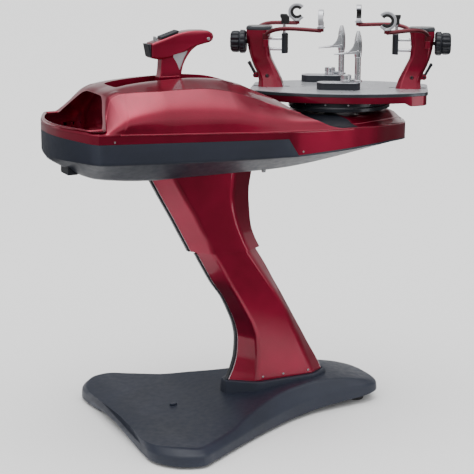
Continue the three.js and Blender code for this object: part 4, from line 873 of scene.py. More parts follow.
@dataclass
class Stand:
    """Moulded base on four feet, and the lower column with its edge strip."""

    left: float = -474
    length: float = 812
    half_width: float = 357
    height: float = 100
    wall: float = 5
    bow_in: float = 34
    bow_reach: float = 0.2
    bow_share: float = 0.75
    pad_margin: float = 10
    pad_top: float = 96.7
    pad_root: float = 54
    foot_radius: float = 21
    foot_height: float = 9
    foot_neck: float = 9
    foot_top: float = 13.7
    plug: tuple[float, float, float, float] = (-283, 49, 11, 6.5)
    foot_places: tuple[tuple[str, float, float], ...] = (
        ("rear_near", -366, -296), ("rear_far", -366, 296), ("front_near", 266, -66), ("front_far", 266, 66))
    rows: tuple[Row, ...] = (
        (0.0, 0.57, 0.08, 0.28, 0.48, 0.4, 0.3, 0.36),
        (0.014, 0.72, 0.08, 0.3, 0.63, 0.44, 0.34, 0.38),
        (0.045, 0.86, 0.08, 0.33, 0.77, 0.48, 0.36, 0.41),
        (0.09, 0.955, 0.08, 0.34, 0.87, 0.51, 0.35, 0.43),
        (0.155, 1.0, 0.08, 0.34, 0.92, 0.47, 0.33, 0.43),
        (0.21, 0.935, 0.08, 0.33, 0.86, 0.46, 0.3, 0.44),
        (0.3, 0.81, 0.08, 0.34, 0.73, 0.47, 0.26, 0.47),
        (0.4, 0.675, 0.08, 0.37, 0.57, 0.6, 0.21, 0.57),
        (0.51, 0.54, 0.09, 0.41, 0.42, 0.73, 0.17, 0.71),
        (0.62, 0.43, 0.11, 0.46, 0.325, 0.83, 0.15, 0.83),
        (0.72, 0.37, 0.15, 0.52, 0.285, 0.86, 0.14, 0.88),
        (0.83, 0.345, 0.2, 0.55, 0.27, 0.8, 0.13, 0.82),
        (0.91, 0.335, 0.25, 0.55, 0.26, 0.68, 0.12, 0.7),
        (0.96, 0.3, 0.29, 0.52, 0.22, 0.58, 0.1, 0.6),
        (0.99, 0.2, 0.31, 0.47, 0.145, 0.51, 0.07, 0.53),
        (1.0, 0.1, 0.31, 0.42, 0.07, 0.46, 0.035, 0.47),
    )

    def rings(self, inset: float) -> list[np.ndarray]:
        """Sections of the moulded cover.

        Args:
            inset: How far inside the outer skin they lie.

        Returns:
            One ring for each station.
        """
        stations = Stations(self.rows)
        shares = stations.places(120)
        rings = []
        for s, (w, zb, zr, c, zc, q, zq) in zip(shares, stations.smooth(shares)):
            x = self.left + inset + s * (self.length - 2 * inset)
            low = zb * self.height - (OVERRUN if inset else 0)
            wide = w * self.half_width - inset
            rim, crease = zr * self.height - inset, zc * self.height - inset
            floor = zq * self.height - inset
            corners = [(0, low), (wide * 0.5, low), (wide, low), (wide - 0.01 * self.half_width, rim),
                       (c * self.half_width - inset, crease), (q * self.half_width, floor), (0, floor)]
            half = rounded(corners, (0, 0, 2, 6, 8, 60, 0), 6)
            fade = max(0.0, 1 - s / self.bow_reach) * self.bow_in
            ring = np.array(mirrored_ring(x, half))
            reach = np.minimum(1, np.abs(ring[:, 1]) / (self.half_width * self.bow_share))
            ring[:, 0] += fade * (1 - reach**2)
            rings.append(ring)
        return rings

    def cover(self, column: "Column") -> Solid:
        """The moulded base with the pad under the column.

        Args:
            column: The column, whose foot it meets.

        Returns:
            The solid.
        """
        shell = cut(skin(self.rings(0)), skin(self.rings(self.wall)))
        foot = column.places()[0]
        pad = skin([
            column.ring(replace_z(foot, self.pad_root), self.pad_margin + 4),
            column.ring(replace_z(foot, self.pad_top - 3), self.pad_margin + 1),
            column.ring(replace_z(foot, self.pad_top - 0.8), self.pad_margin),
            column.ring(replace_z(foot, self.pad_top), self.pad_margin - 2),
        ])
        groove = [column.ring(replace_z(foot, z), grow) for z, grow in
                  ((self.pad_top - 2.5, 3.6), (self.pad_top + 4, 3.6))]
        inside = [column.ring(replace_z(foot, z), grow) for z, grow in
                  ((self.pad_top - 3.5, 0.6), (self.pad_top + 5, 0.6))]
        moat = cut(skin(groove), skin(inside))
        mast = Masts().prism(76, 66, 0, self.pad_top + OVERRUN)
        return cut(joined(shell, pad), moat, mast)

    def foot(self, x: float, y: float) -> Solid:
        """One rubber foot with its neck.

        Args:
            x: Its place along X.
            y: Its place along Y.

        Returns:
            The solid.
        """
        profile = rounded([(0, 0), (self.foot_radius * 0.9, 0), (self.foot_radius, 3), (self.foot_radius, 9),
                           (self.foot_neck, self.foot_height), (self.foot_neck, self.foot_top),
                           (0, self.foot_top)], 1.2, 3)
        return lathe(profile).at(x, y, 0)

    def build(self, shop: Workshop, column: "Column") -> None:
        """Builds and dresses the stand.

        Args:
            shop: The workshop.
            column: The column, whose foot it meets.
        """
        shop.fit(self.cover(column), "base_moulding",
                 Mount("stand", Finish.GREY_MOULDING, ("base_cover",), 1.2))
        for name, x, y in self.foot_places:
            shop.fit(self.foot(x, y), f"rubber_foot_{name}", Mount("stand", Finish.RUBBER, (f"foot_{name}",)))
        x, z, long, wide = self.plug
        shop.fit(plate([ellipse(long, wide, 40)], z - 4, z + 1.2, 0.8).at(x, 0, 0), "base_plug",
                 Mount("stand", Finish.GREY_MOULDING))


@dataclass
class Masts:
    """The leaning line that the telescoping tubes follow."""

    x: float = -136
    z: float = 471

    def prism(self, size_x: float, size_y: float, z0: float, z1: float) -> Solid:
        """A leaning box between two heights.

        Args:
            size_x: Its length.
            size_y: Its width.
            z0: Its bottom.
            z1: Its top.

        Returns:
            The solid.
        """
        signs = ((1, 1), (-1, 1), (-1, -1), (1, -1))
        rings = []
        for z in (z0, z1):
            x = self.x - (z - self.z) * LEAN_SHARE
            rings.append([(x + dx * size_x / 2, dy * size_y / 2, z) for dx, dy in signs])
        return skin(rings)


Place = tuple[float, float, float, float, float]


def replace_z(place: Place, z: float) -> Place:
    """Returns a section's place at another height."""
    return (z, *place[1:])


@dataclass
class Column:
    """A leaning cover with a broad face and two slanting edges."""

    bottom: float
    top: float
    left: float
    width: float
    face: float
    left_face: float
    right_face: float
    rows: tuple[Row, ...]
    crease: float = 12.0

    def places(self, count: int = 0) -> list[Place]:
        """Heights and edges of its sections.

        Args:
            count: Number of even sections, or none for the table's own.

        Returns:
            Height, left edge, left crease, right crease and right edge of each.
        """
        stations = Stations(self.rows)
        shares = stations.places(count) if count else stations.shares
        rise = self.top - self.bottom
        return [(self.bottom + h * rise, *(self.left + edge * self.width for edge in edges))
                for h, edges in zip(shares, stations.smooth(shares))]

    def ring(self, place: Place, grow: float) -> list[Point3]:
        """One section.

        Args:
            place: Its height and edges.
            grow: How far it is set out.

        Returns:
            The ring, with its creases rounded.
        """
        z, xl, xlc, xrc, xr = place
        f, l, r = self.face + grow, self.left_face + grow * 0.6, self.right_face + grow * 0.6
        corners = [(xl - grow, l), (xl - grow, -l), (xlc - grow * 0.4, -f), (xrc + grow * 0.4, -f),
                   (xr + grow, -r), (xr + grow, r), (xrc + grow * 0.4, f), (xlc - grow * 0.4, f)]
        radii = [3, 3, self.crease, self.crease, 6, 6, self.crease, self.crease]
        return [(float(x), float(y), z) for x, y in rounded(corners, radii, 4, closed=True)]

    def trim(self, thickness: float, share: float) -> Solid:
        """The dark strip along its left edge.

        Args:
            thickness: How far it stands proud.
            share: Its width as a share of the edge's.

        Returns:
            The strip.
        """
        half = self.left_face * share
        rings = []
        for z, xl, *_ in self.places(40):
            corners = [(xl - SEAT_GAP, half), (xl - SEAT_GAP, -half), (xl - thickness, -half * 0.8),
                       (xl - thickness, half * 0.8)]
            rings.append([(float(x), float(y), z) for x, y in rounded(corners, 1.6, 3, closed=True)])
        return skin(rings)

    def highlight_piping(self, radius: float) -> list[Solid]:
        """A thin silver line at each side of the strip, a painted highlight along the column's edge.

        Args:
            radius: Its radius.

        Returns:
            One strip for each side.
        """
        lines = []
        for side in (1, -1):
            path = [(xl + 1.4, side * (self.left_face + 0.3), z) for z, xl, *_ in self.places(40)]
            lines.append(swept(path, ellipse(radius, radius, 8)))
        return lines


LOWER_COLUMN = Column(
    bottom=97, top=471, left=-233, width=193, face=60, left_face=9, right_face=30,
    rows=(
        (0.0, 0.596, 0.95, 1.85, 2.085),
        (0.09, 0.676, 0.955, 1.78, 2.0),
        (0.197, 0.73, 0.955, 1.7, 1.88),
        (0.319, 0.743, 0.94, 1.6, 1.75),
        (0.421, 0.71, 0.88, 1.5, 1.64),
        (0.543, 0.62, 0.76, 1.395, 1.51),
        (0.655, 0.513, 0.64, 1.27, 1.39),
        (0.757, 0.373, 0.53, 1.135, 1.275),
        (0.888, 0.228, 0.4, 0.96, 1.135),
        (1.0, 0.114, 0.275, 0.815, 1.0),
    ),
)
SLEEVE = Column(
    bottom=480, top=705.7, left=-246, width=214, face=66, left_face=10, right_face=33,
    rows=(
        (0.0, 0.067, 0.26, 0.775, 1.0),
        (0.121, 0.002, 0.215, 0.71, 0.935),
        (0.269, -0.08, 0.13, 0.645, 0.88),
        (0.418, -0.161, 0.055, 0.59, 0.86),
        (0.678, -0.312, -0.098, 0.542, 0.845),
        (1.0, -0.492, -0.284, 0.578, 0.894),
    ),
)


@dataclass
class Columns:
    """The lower column and the sleeve that slides over it."""

    lower: Column = field(default_factory=lambda: LOWER_COLUMN)
    sleeve: Column = field(default_factory=lambda: SLEEVE)
    prism_top: float = 640
    wall: float = 4
    clear: float = 1.5
    trim_thick: float = 5
    trim_share: float = 0.92
    screw_radius: float = 3.2

    def prism_place(self, z: float) -> Place:
        """The straight upper part's section at one height.

        Args:
            z: Its height.

        Returns:
            The section's place.
        """
        place = self.lower.places()[-1]
        shift = (place[0] - z) * LEAN_SHARE
        return (z, *(edge + shift for edge in place[1:]))

    def lower_cover(self) -> Solid:
        """The lower column as a thin-walled cover.

        Returns:
            The solid.
        """
        rows = [*self.lower.places(70), self.prism_place(self.prism_top)]
        inner = [replace_z(rows[0], rows[0][0] - OVERRUN), *rows[:-1],
                 self.prism_place(self.prism_top + OVERRUN)]
        return cut(skin([self.lower.ring(row, 0) for row in rows]),
                   skin([self.lower.ring(row, -self.wall) for row in inner]))

    def sleeve_cover(self) -> Solid:
        """The sleeve with the bore that fits the lower column.

        Returns:
            The solid.
        """
        bore = [self.prism_place(z) for z in (self.sleeve.bottom - OVERRUN, self.sleeve.top + OVERRUN)]
        return cut(skin([self.sleeve.ring(row, 0) for row in self.sleeve.places(60)]),
                   skin([self.lower.ring(row, self.clear) for row in bore]))

    def build(self, shop: Workshop) -> None:
        """Builds and dresses both covers, their strips and their screws.

        Args:
            shop: The workshop.
        """
        shop.fit(self.lower_cover(), "column_cover", Mount("stand", Finish.RED_SHELL, ("lower_column",)))
        shop.fit(self.sleeve_cover(), "sleeve_cover", Mount("upper", Finish.RED_SHELL, ("column_sleeve",)))
        for part, name, node, body in ((self.lower, "column", "column_edge_trim", "stand"),
                                       (self.sleeve, "sleeve", "sleeve_edge_trim", "upper")):
            shop.fit(part.trim(self.trim_thick, self.trim_share), f"{name}_strip",
                     Mount(body, Finish.BLACK_PLASTIC, (node,)))
            # The silver piping is a painted highlight line along the edge.
            first, *rest = part.highlight_piping(0.9)
            shop.fit(first.with_(*rest), f"{name}_piping", Mount(body, Finish.SILVER))
        self.screws(shop)

    def screws(self, shop: Workshop) -> None:
        """Sets the small screws along the foot of the column.

        Args:
            shop: The workshop.
        """
        z, _, crease_l, crease_r, _ = self.lower.places(70)[2]
        heads = []
        for side in (1, -1):
            for share in (0.09, 0.47, 0.94):
                x = crease_l + share * (crease_r - crease_l)
                heads.append(screw_head(self.screw_radius).turned(
                    Matrix.Translation((x, side * self.lower.face, z)) @ facing(side)))
        shop.fit(heads[0].with_(*heads[1:]), "column_screws", Mount("stand", Finish.STEEL))
        z, edge, crease, *_ = self.sleeve.places()[-1]
        heads = []
        for side in (1, -1):
            start = Vector((edge, side * self.sleeve.left_face))
            end = Vector((crease, side * self.sleeve.face))
            out = Vector((-abs(end.y - start.y), side * (end.x - start.x), 0)).normalized()
            turn = out.to_track_quat("Z", "Y").to_matrix().to_4x4()
            for share in (0.2, 0.42):
                spot = start.lerp(end, share)
                heads.append(screw_head(self.screw_radius).turned(
                    Matrix.Translation((spot.x, spot.y, z - 9)) @ turn))
        shop.fit(heads[0].with_(*heads[1:]), "sleeve_screws", Mount("upper", Finish.STEEL))


def facing(side: int) -> Matrix:
    """Returns the turn that makes +Z look to the near side or to the far side."""
    return Matrix.Rotation(-side * pi / 2, 4, "X")


def screw_head(radius: float) -> Solid:
    """A small domed screw head with a socket in it, sitting on Z=0.

    Args:
        radius: Its radius.

    Returns:
        The solid.
    """
    profile = [(0, -2), (radius, -2), (radius, 0.3), (radius * 0.9, 1.0), (radius * 0.62, 1.35),
               (radius * 0.5, 1.3), (radius * 0.42, 0.2), (0, 0.2)]
    return lathe(profile, 24)


@dataclass
class Hull:
    """The tub and the cover of the hull."""

    left: float = -640
    length: float = 1080
    half_width: float = 200
    underside: float = 690
    height: float = 268
    wall: float = 4
    rim: float = 13
    tray_floor: float = 800
    tray_rim: float = 857
    tray_half: float = 171
    tray_rear: float = -466
    cab_half: float = 66
    cab_roof: float = 928
    channel: tuple[float, float, float, float] = (-452, -20, 47, 905)
    slot: tuple[float, float, float] = (-444, -176, 20)
    panel_step: float = 4.0
    panel_from: float = 0.138
    panel_slant: float = 0.035
    panel_edge: float = 0.004
    panel_soft: float = 0.4
    panel_to: float = 0.56
    panel_lift: float = 0.5
    panel_lift_to: float = 0.25
    hollow_radius: float = 258
    hollow_rim: float = 848
    moat: tuple[float, float] = (190, 817)
    deck: tuple[float, float] = (135, 842)
    well: float = 50
    shade_liner_thick: float = 0.9
    shade_liner_inset: float = 0.7
    seam_lean: float = 4.0
    bead: float = 2.6
    bead_height: float = 0.6275
    seam_radius: float = 1.9
    seam_from: float = 0.13
    seam_to: float = 0.925
    tray_from: float = 0.0235
    tray_turn: float = 22.0
    mat_inset: float = 24
    tub_radii: Row = (0, 16, 5, 0)
    tray_radii: Row = (0, 12, 40, 26, 0)
    boss_top: float = 741.7
    mast_hole: Point3 = (70, 60, 742)
    boss_places: tuple[Point2, ...] = ((-440, 45), (-440, -45), (120, 45), (120, -45))
    seam: tuple[Row, ...] = (
        (0.0148, 0.535), (0.078, 0.507), (0.567, 0.422), (0.594, 0.254), (0.65, 0.264), (0.74, 0.28),
        (0.824, 0.298), (0.88, 0.296), (0.926, 0.284), (0.956, 0.272), (0.977, 0.262), (0.997, 0.25))
    tub_rows: tuple[Row, ...] = (
        (0.0148, 0.05, 0.299, 0.02, 0.321),
        (0.0185, 0.27, 0.28, 0.08, 0.322),
        (0.026, 0.44, 0.258, 0.16, 0.323),
        (0.05, 0.78, 0.2, 0.32, 0.325),
        (0.066, 0.95, 0.165, 0.42, 0.322),
        (0.078, 1.0, 0.145, 0.47, 0.318),
        (0.1, 1.0, 0.118, 0.53, 0.311),
        (0.13, 1.0, 0.1, 0.56, 0.306),
        (0.195, 1.0, 0.072, 0.57, 0.295),
        (0.255, 1.0, 0.06, 0.56, 0.283),
        (0.55, 0.99, 0.06, 0.515, 0.246),
        (0.567, 0.99, 0.061, 0.51, 0.245),
        (0.594, 0.99, 0.064, 0.5, 0.243),
        (0.65, 0.985, 0.078, 0.475, 0.25),
        (0.74, 0.96, 0.115, 0.42, 0.265),
        (0.824, 0.89, 0.155, 0.35, 0.282),
        (0.88, 0.75, 0.182, 0.28, 0.28),
        (0.926, 0.6, 0.203, 0.2, 0.27),
        (0.956, 0.46, 0.215, 0.14, 0.26),
        (0.977, 0.26, 0.227, 0.08, 0.252),
        (0.997, 0.05, 0.236, 0.02, 0.243),
    )
    cover_rows: tuple[Row, ...] = (
        (0.0148, 0.05, 0.597, 0.045, 0.607, 0.04, 0.614, 0.03, 0.62),
        (0.0185, 0.27, 0.598, 0.26, 0.609, 0.25, 0.617, 0.22, 0.624),
        (0.026, 0.44, 0.6, 0.43, 0.612, 0.41, 0.62, 0.38, 0.627),
        (0.05, 0.78, 0.6, 0.77, 0.612, 0.75, 0.622, 0.71, 0.63),
        (0.066, 0.95, 0.597, 0.935, 0.61, 0.915, 0.62, 0.87, 0.63),
        (0.078, 1.0, 0.594, 0.98, 0.607, 0.958, 0.619, 0.91, 0.63),
        (0.095, 1.0, 0.59, 0.98, 0.605, 0.955, 0.618, 0.9, 0.63),
        (0.115, 1.0, 0.586, 0.97, 0.655, 0.9, 0.715, 0.61, 0.76),
        (0.137, 1.0, 0.582, 0.96, 0.71, 0.81, 0.84, 0.36, 0.898),
        (0.158, 1.0, 0.578, 0.96, 0.745, 0.8, 0.885, 0.35, 0.932),
        (0.205, 1.0, 0.567, 0.96, 0.765, 0.77, 0.918, 0.33, 0.97),
        (0.28, 1.0, 0.552, 0.955, 0.77, 0.735, 0.94, 0.3, 0.992),
        (0.355, 1.0, 0.537, 0.955, 0.757, 0.72, 0.937, 0.29, 1.0),
        (0.43, 1.0, 0.522, 0.955, 0.731, 0.71, 0.896, 0.29, 0.978),
        (0.49, 0.995, 0.507, 0.96, 0.672, 0.72, 0.82, 0.3, 0.918),
        (0.537, 0.995, 0.5, 0.965, 0.627, 0.75, 0.747, 0.32, 0.836),
        (0.567, 0.99, 0.496, 0.965, 0.604, 0.77, 0.709, 0.34, 0.784),
        (0.594, 0.99, 0.493, 0.97, 0.59, 0.79, 0.67, 0.4, 0.739),
        (0.65, 0.985, 0.485, 0.975, 0.575, 0.83, 0.605, 0.5, 0.64),
        (0.695, 0.975, 0.48, 0.97, 0.525, 0.85, 0.55, 0.55, 0.59),
        (0.74, 0.96, 0.476, 0.95, 0.489, 0.86, 0.51, 0.58, 0.57),
        (0.78, 0.93, 0.47, 0.92, 0.478, 0.83, 0.5, 0.58, 0.555),
        (0.824, 0.89, 0.463, 0.875, 0.473, 0.75, 0.5, 0.54, 0.552),
        (0.88, 0.75, 0.448, 0.735, 0.459, 0.6, 0.489, 0.38, 0.555),
        (0.926, 0.6, 0.433, 0.585, 0.444, 0.45, 0.481, 0.24, 0.555),
        (0.956, 0.46, 0.422, 0.44, 0.433, 0.3, 0.462, 0.15, 0.515),
        (0.977, 0.26, 0.414, 0.245, 0.421, 0.18, 0.434, 0.1, 0.455),
        (0.997, 0.05, 0.407, 0.045, 0.411, 0.035, 0.414, 0.02, 0.418),
    )

    def x(self, share: float) -> float:
        """Returns the place of a share of the hull's length."""
        return self.left + share * self.length

    def z(self, share: float) -> float:
        """Returns the height of a share of the hull's height."""
        return self.underside + share * self.height

    def seam_z(self, share: float) -> float:
        """Returns the height of the seam between the tub and the cover."""
        return self.z(Stations(self.seam).straight(share, 0))

    def half_at(self, x: float) -> float:
        """Returns the half width of the hull at one place."""
        share = (x - self.left) / self.length
        return float(Stations(self.tub_rows).smooth(np.array([share]))[0, 0]) * self.half_width

    def lean(self, share: float) -> float:
        """Returns how far the band over the seam leans in at its foot."""
        return self.seam_lean * min(1.0, max(0.0, (share - 0.04) / 0.04), max(0.0, (0.97 - share) / 0.1))

    def tub_rings(self, inset: float) -> list[np.ndarray]:
        """Sections of the tub.

        Args:
            inset: How far inside the outer skin they lie.

        Returns:
            One ring for each station.
        """
        stations = Stations(self.tub_rows)
        shares = stations.places(110)
        if inset:
            shares = shares[(shares >= 0.05) & (shares <= 0.926)]
        rings = []
        for s, (w, zb, wb, zl) in zip(shares, stations.smooth(shares)):
            wide = w * self.half_width - inset
            top = self.seam_z(s) - SEAT_GAP + (OVERRUN if inset else 0)
            keel = self.z(zb) + inset
            corners = [(0, keel), (max(1.0, wb * self.half_width - inset * 0.6), keel),
                       (wide, self.z(zl) + inset * 0.4), (wide - self.lean(s), top)]
            rings.append(np.array(mirrored_ring(self.x(s), rounded(corners, self.tub_radii, 6))))
        return rings

    def tray_places(self, margin: float) -> list[float]:
        """Returns places along the tray, closer together at its narrow end."""
        start = self.x(self.tray_from)
        return [start + (self.tray_rear - margin - start) * (i / 40) ** 1.5 for i in range(41)]

    def tray_tool(self, grow: float) -> Solid:
        """The space of the tool tray.

        Args:
            grow: How far it is set out.

        Returns:
            The space as a solid.
        """
        turn = self.tray_turn
        places = [(x, 0.0) for x in self.tray_places(turn)] + [
            (self.tray_rear - turn + turn * sin(a), turn * (1 - cos(a))) for a in np.linspace(0.2, pi / 2, 7)]
        rings = []
        for x, inset in places:
            half = min(self.tray_half, self.half_at(x - self.rim * 0.7)) + grow - inset
            roof = min(half * 0.5, self.cab_half) + grow * 0.7
            floor, top = self.tray_floor - grow + inset * 0.4, self.cab_roof + grow - inset * 0.7
            corners = [(0, floor), (half, floor), (half, self.tray_rim + grow * 0.5), (roof, top), (0, top)]
            at = x + grow if x > self.tray_rear - turn else x - grow
            rings.append(np.array(mirrored_ring(at, rounded(corners, self.tray_radii, 6))))
        return skin(rings)

    def hollow_tool(self, grow: float) -> Solid:
        """The dished space under the turntable.

        Args:
            grow: How far it is set out.

        Returns:
            The solid.
        """
        (moat_radius, moat_floor), (deck_radius, deck_height) = self.moat, self.deck
        reach = self.hollow_radius - moat_radius
        dish = [(moat_radius + grow + t * reach, moat_floor + t**2.2 * (self.hollow_rim - moat_floor) - grow)
                for t in np.linspace(0, 1, 14)]
        high = self.underside + self.height + OVERRUN
        low = deck_height - grow
        bend = rounded([(deck_radius - 20, low), (deck_radius, low), (moat_radius, moat_floor - grow),
                        dish[3]], 12, 5)
        line = [(0, low), *bend, *dish[4:], (self.hollow_radius + grow, high), (0, high)]
        return lathe(line, 144).at(TABLE_X, 0, 0)

    def channel_tool(self, grow: float) -> Solid:
        """The space along the crown that the tension head travels in.

        Args:
            grow: How far it is set out.

        Returns:
            The solid.
        """
        x0, x1, half, floor = self.channel
        outline = box_outline(x0 - grow, x1 + grow, -half - grow, half + grow, 9 + grow)
        return plate([outline], floor - grow, self.underside + self.height + OVERRUN, 2.5, 3)

    def cover_rings(self, inset: float) -> list[np.ndarray]:
        """Sections of the cover.

        Args:
            inset: How far inside the outer skin they lie.

        Returns:
            One ring for each station.
        """
        stations = Stations(self.cover_rows)
        edges = np.arange(self.panel_from - 0.003, self.panel_from + self.panel_slant + 0.004, 0.0011)
        coarse = [s for s in stations.places(130) if s < edges[0] or s > edges[-1]]
        shares = np.unique(np.concatenate([coarse, edges, [0.5672, 0.5938]]))
        if inset:
            shares = shares[(shares >= 0.05) & (shares <= 0.956)]
        rings = []
        for s, row in zip(shares, stations.smooth(shares)):
            rings.append(np.array(mirrored_ring(self.x(s), self.cover_half(s, row, inset))))
        return rings

    def cover_half(self, s: float, row: np.ndarray, inset: float) -> list[Point2]:
        """Far half of one section of the cover.

        Args:
            s: Share of the hull's length.
            row: Its values from the table.
            inset: How far inside the outer skin it lies.

        Returns:
            Y and Z of its points from the seam up.
        """
        w, zc, wm, zm, wp, zp, wt, zt = row
        half, step = self.half_width, self.panel_step
        lift = self.panel_lift * min(1.0, max(0.0, (self.panel_lift_to - s) / 0.09))
        crest = (wt * half - inset, self.z(zt) - inset)
        shoulder = (wp * half - inset, self.z(zp) - inset * 0.7)
        shoulder = tuple(a + (b - a) * lift for a, b in zip(shoulder, crest))
        start, middle = (w * half - inset, self.z(zc) + 2.5), (wm * half - inset, self.z(zm))
        smooth = catmull([start, middle, shoulder, crest, (0, crest[1])], 10)
        panel = catmull([start, middle, shoulder], 10)
        crown = catmull([(shoulder[0] - step, shoulder[1] + 1.4), crest, (0, crest[1])], 10)
        reach = min(1.0, max(0.0, (self.panel_to - s) / 0.13))
        turn = min(1.0, max(0.0, (s - self.panel_from - self.panel_slant * 0.6) / 0.012),
                   max(0.0, (0.64 - s) / 0.06))
        line = []
        for i, (free, firm) in enumerate(zip(smooth[:21], panel)):
            edge = self.panel_from + self.panel_slant * (i / 20) ** 1.3
            before = 1 - min(1.0, max(0.0, (s - edge) / self.panel_edge + 0.5))
            proud = step * max(self.panel_soft * before, 1 - reach) * min(1.0, i / 6)
            place = free * (1 - turn) + firm * turn
            line.append((place[0] - proud, place[1]))
        ledge = rounded([line[-2], line[-1], (shoulder[0] - step, line[-1][1] + 1.4)], 2.2, 4)[1:]
        over = [free * (1 - turn) + firm * turn - np.array([proud * (1 - turn) * max(0.0, 1 - i / 12), 0])
                for i, (free, firm) in enumerate(zip(smooth[20:], crown))]
        foot = (w * half - inset - self.lean(s), self.seam_z(s) - (OVERRUN if inset else 0))
        bend = rounded([foot, (w * half - inset, self.z(zc) - 1.5), tuple(line[1])], 3.5, 4)[:-1]
        return [*bend, *line[1:-1], *ledge, *over[1:]]

    def cover(self, console: "Console") -> Solid:
        """The cover with its tray, channel and hollow.

        Args:
            console: The console.

        Returns:
            The solid.
        """
        wall = self.wall
        cavity = cut(skin(self.cover_rings(wall)), self.tray_tool(wall), self.hollow_tool(wall),
                     self.channel_tool(wall))
        below = block(self.left, self.tray_rear + wall, -self.half_width, self.half_width,
                      self.tray_floor - wall - OVERRUN, self.z(0.52), 0.5)
        basin = combined(self.tray_tool(wall + 0.15), Op.COMMON, below)
        shell = joined(cut(skin(self.cover_rings(0)), cavity), basin)
        slot_left, slot_right, slot_half = self.slot
        floor = self.channel[3]
        slot = plate([box_outline(slot_left, slot_right, -slot_half, slot_half, 8)],
                     floor - wall - OVERRUN, floor + OVERRUN, 0.3)
        return cut(shell, self.tray_tool(0), self.hollow_tool(0), self.channel_tool(0), slot,
                   self.well_tool(0), console.block(SEAT_GAP))

    def hollow_shade_liner(self) -> Solid:
        """A thin dark lining in the hollow under the turntable, painted shade where the hollow lies in
        shadow.

        Returns:
            The solid.
        """
        lining = cut(self.hollow_tool(SEAT_GAP), self.hollow_tool(-self.shade_liner_thick))
        inside = skin(self.cover_rings(self.shade_liner_inset))
        return cut(combined(lining, Op.COMMON, inside), self.channel_tool(1), self.well_tool(1))

    def well_tool(self, grow: float) -> Solid:
        """Returns the round space for the shaft in the middle of the hollow."""
        low, high = self.moat[1] - OVERRUN, self.deck[1] + OVERRUN
        return drum(self.well + grow, low, high, 0.3, 64).at(TABLE_X, 0, 0)

    def tub(self, inlet: "Inlet") -> Solid:
        """The tub with its bosses and openings.

        Args:
            inlet: The power inlet.

        Returns:
            The solid.
        """
        shell = cut(skin(self.tub_rings(0)), skin(self.tub_rings(self.wall)))
        stations = Stations(self.tub_rows)
        bosses = []
        for x, y in self.boss_places:
            floor = self.z(stations.straight((x - self.left) / self.length, 1)) + self.wall / 2
            bosses.append(drum(9, floor, self.boss_top).at(x, y, 0))
        size_x, size_y, high = self.mast_hole
        mast = Masts().prism(size_x, size_y, SLEEVE.top - OVERRUN, high)
        return cut(joined(shell, *bosses), mast, inlet.block(SEAT_GAP), self.tray_tool(self.wall + SEAT_GAP))

    def build(self, shop: Workshop, console: "Console", inlet: "Inlet") -> None:
        """Builds and dresses the tub, the cover and their screws.

        Args:
            shop: The workshop.
            console: The console.
            inlet: The power inlet.
        """
        shop.fit(self.cover(console), "hull_top", Mount("upper", Finish.RED_SHELL, ("hull_cover",), 1.3))
        shop.fit(self.tub(inlet), "hull_bottom", Mount("upper", Finish.GREY_MOULDING, ("hull_tub",), 1.0))
        # The black lining is painted shade in the hollow under the turntable.
        shop.fit(self.hollow_shade_liner(), "hollow_shade_liner", Mount("upper", Finish.BLACK_PLASTIC))
        self.tray_mat(shop)
        far = [(x, min(self.tray_half, self.half_at(x - self.rim * 0.7)), self.z(self.bead_height))
               for x in self.tray_places(16)]
        path = [*((x, -y, z) for x, y, z in reversed(far)), *far]
        beads = Mount("upper", Finish.RED_SHELL)
        shop.fit(swept(path, ellipse(self.bead, self.bead, 12)), "tray_bead", beads)
        shop.fit(self.seam_bead(-1).with_(self.seam_bead(1)), "seam_bead", beads)
        self.screws(shop)

    def seam_bead(self, side: int) -> Solid:
        """The bead along the crease over the seam, on the near (-1) or the far side (1).

        Args:
            side: 1 for the far side, -1 for the near side.

        Returns:
            The solid.
        """
        shares = np.linspace(self.seam_from, self.seam_to, 90)
        rows = Stations(self.cover_rows).smooth(shares)
        path = [(self.x(s), side * (row[0] * self.half_width - 0.5), self.z(row[1]) + 0.8)
                for s, row in zip(shares, rows)]
        return swept(path, ellipse(self.seam_radius, self.seam_radius, 12))

    def tray_mat(self, shop: Workshop) -> None:
        """Lays the ribbed rubber mat on the tray's floor.

        Args:
            shop: The workshop.
        """
        x0, x1 = self.x(self.tray_from) + 14, self.tray_rear - self.mat_inset
        far = [(x, self.half_at(x - self.rim) - self.mat_inset) for x in np.linspace(x0, x1, 20)]
        far = [(x, min(y, self.tray_half - 20)) for x, y in far]
        outline = [*far, *((x, -y) for x, y in reversed(far))]
        mat = plate([rounded(outline, 6, 2, closed=True)], self.tray_floor + 0.2, self.tray_floor + 2.2, 0.6)
        ribs = []
        for i in range(11):
            x = x0 + 12 + i * (x1 - x0 - 24) / 10
            reach = min(self.half_at(x - self.rim) - 34, self.tray_half - 30)
            ribs.append(plate([box_outline(x - 1.5, x + 1.5, -reach, reach, 1.4)], self.tray_floor + 1.4,
                              self.tray_floor + 3.2, 0.6))
        shop.fit(mat.with_(*ribs), "tray_mat", Mount("upper", Finish.RUBBER))

    def screws(self, shop: Workshop) -> None:
        """Sets the screws along the seam and under the tub.

        Args:
            shop: The workshop.
        """
        heads = []
        for side in (1, -1):
            for share, rise in ((0.117, 6.0), (0.606, 8.0)):
                x = self.x(share)
                heads.append(screw_head(2.6).turned(Matrix.Translation(
                    (x, side * (self.half_at(x) - self.lean(share) * 0.8 - 0.2), self.seam_z(share) + rise))
                    @ facing(side)))
        shop.fit(heads[0].with_(*heads[1:]), "hull_screws", Mount("upper", Finish.STEEL))
        pegs = [lathe(rounded([(0, -4), (5, -4), (6, 0), (6, 9), (0, 9)], 1.0, 3), 28).at(
            x, y, self.z(Stations(self.tub_rows).straight((x - self.left) / self.length, 1)) - 2)
            for x in (-53,) for y in (-96, 96)]
        shop.fit(pegs[0].with_(*pegs[1:]), "tub_pegs", Mount("upper", Finish.STEEL))


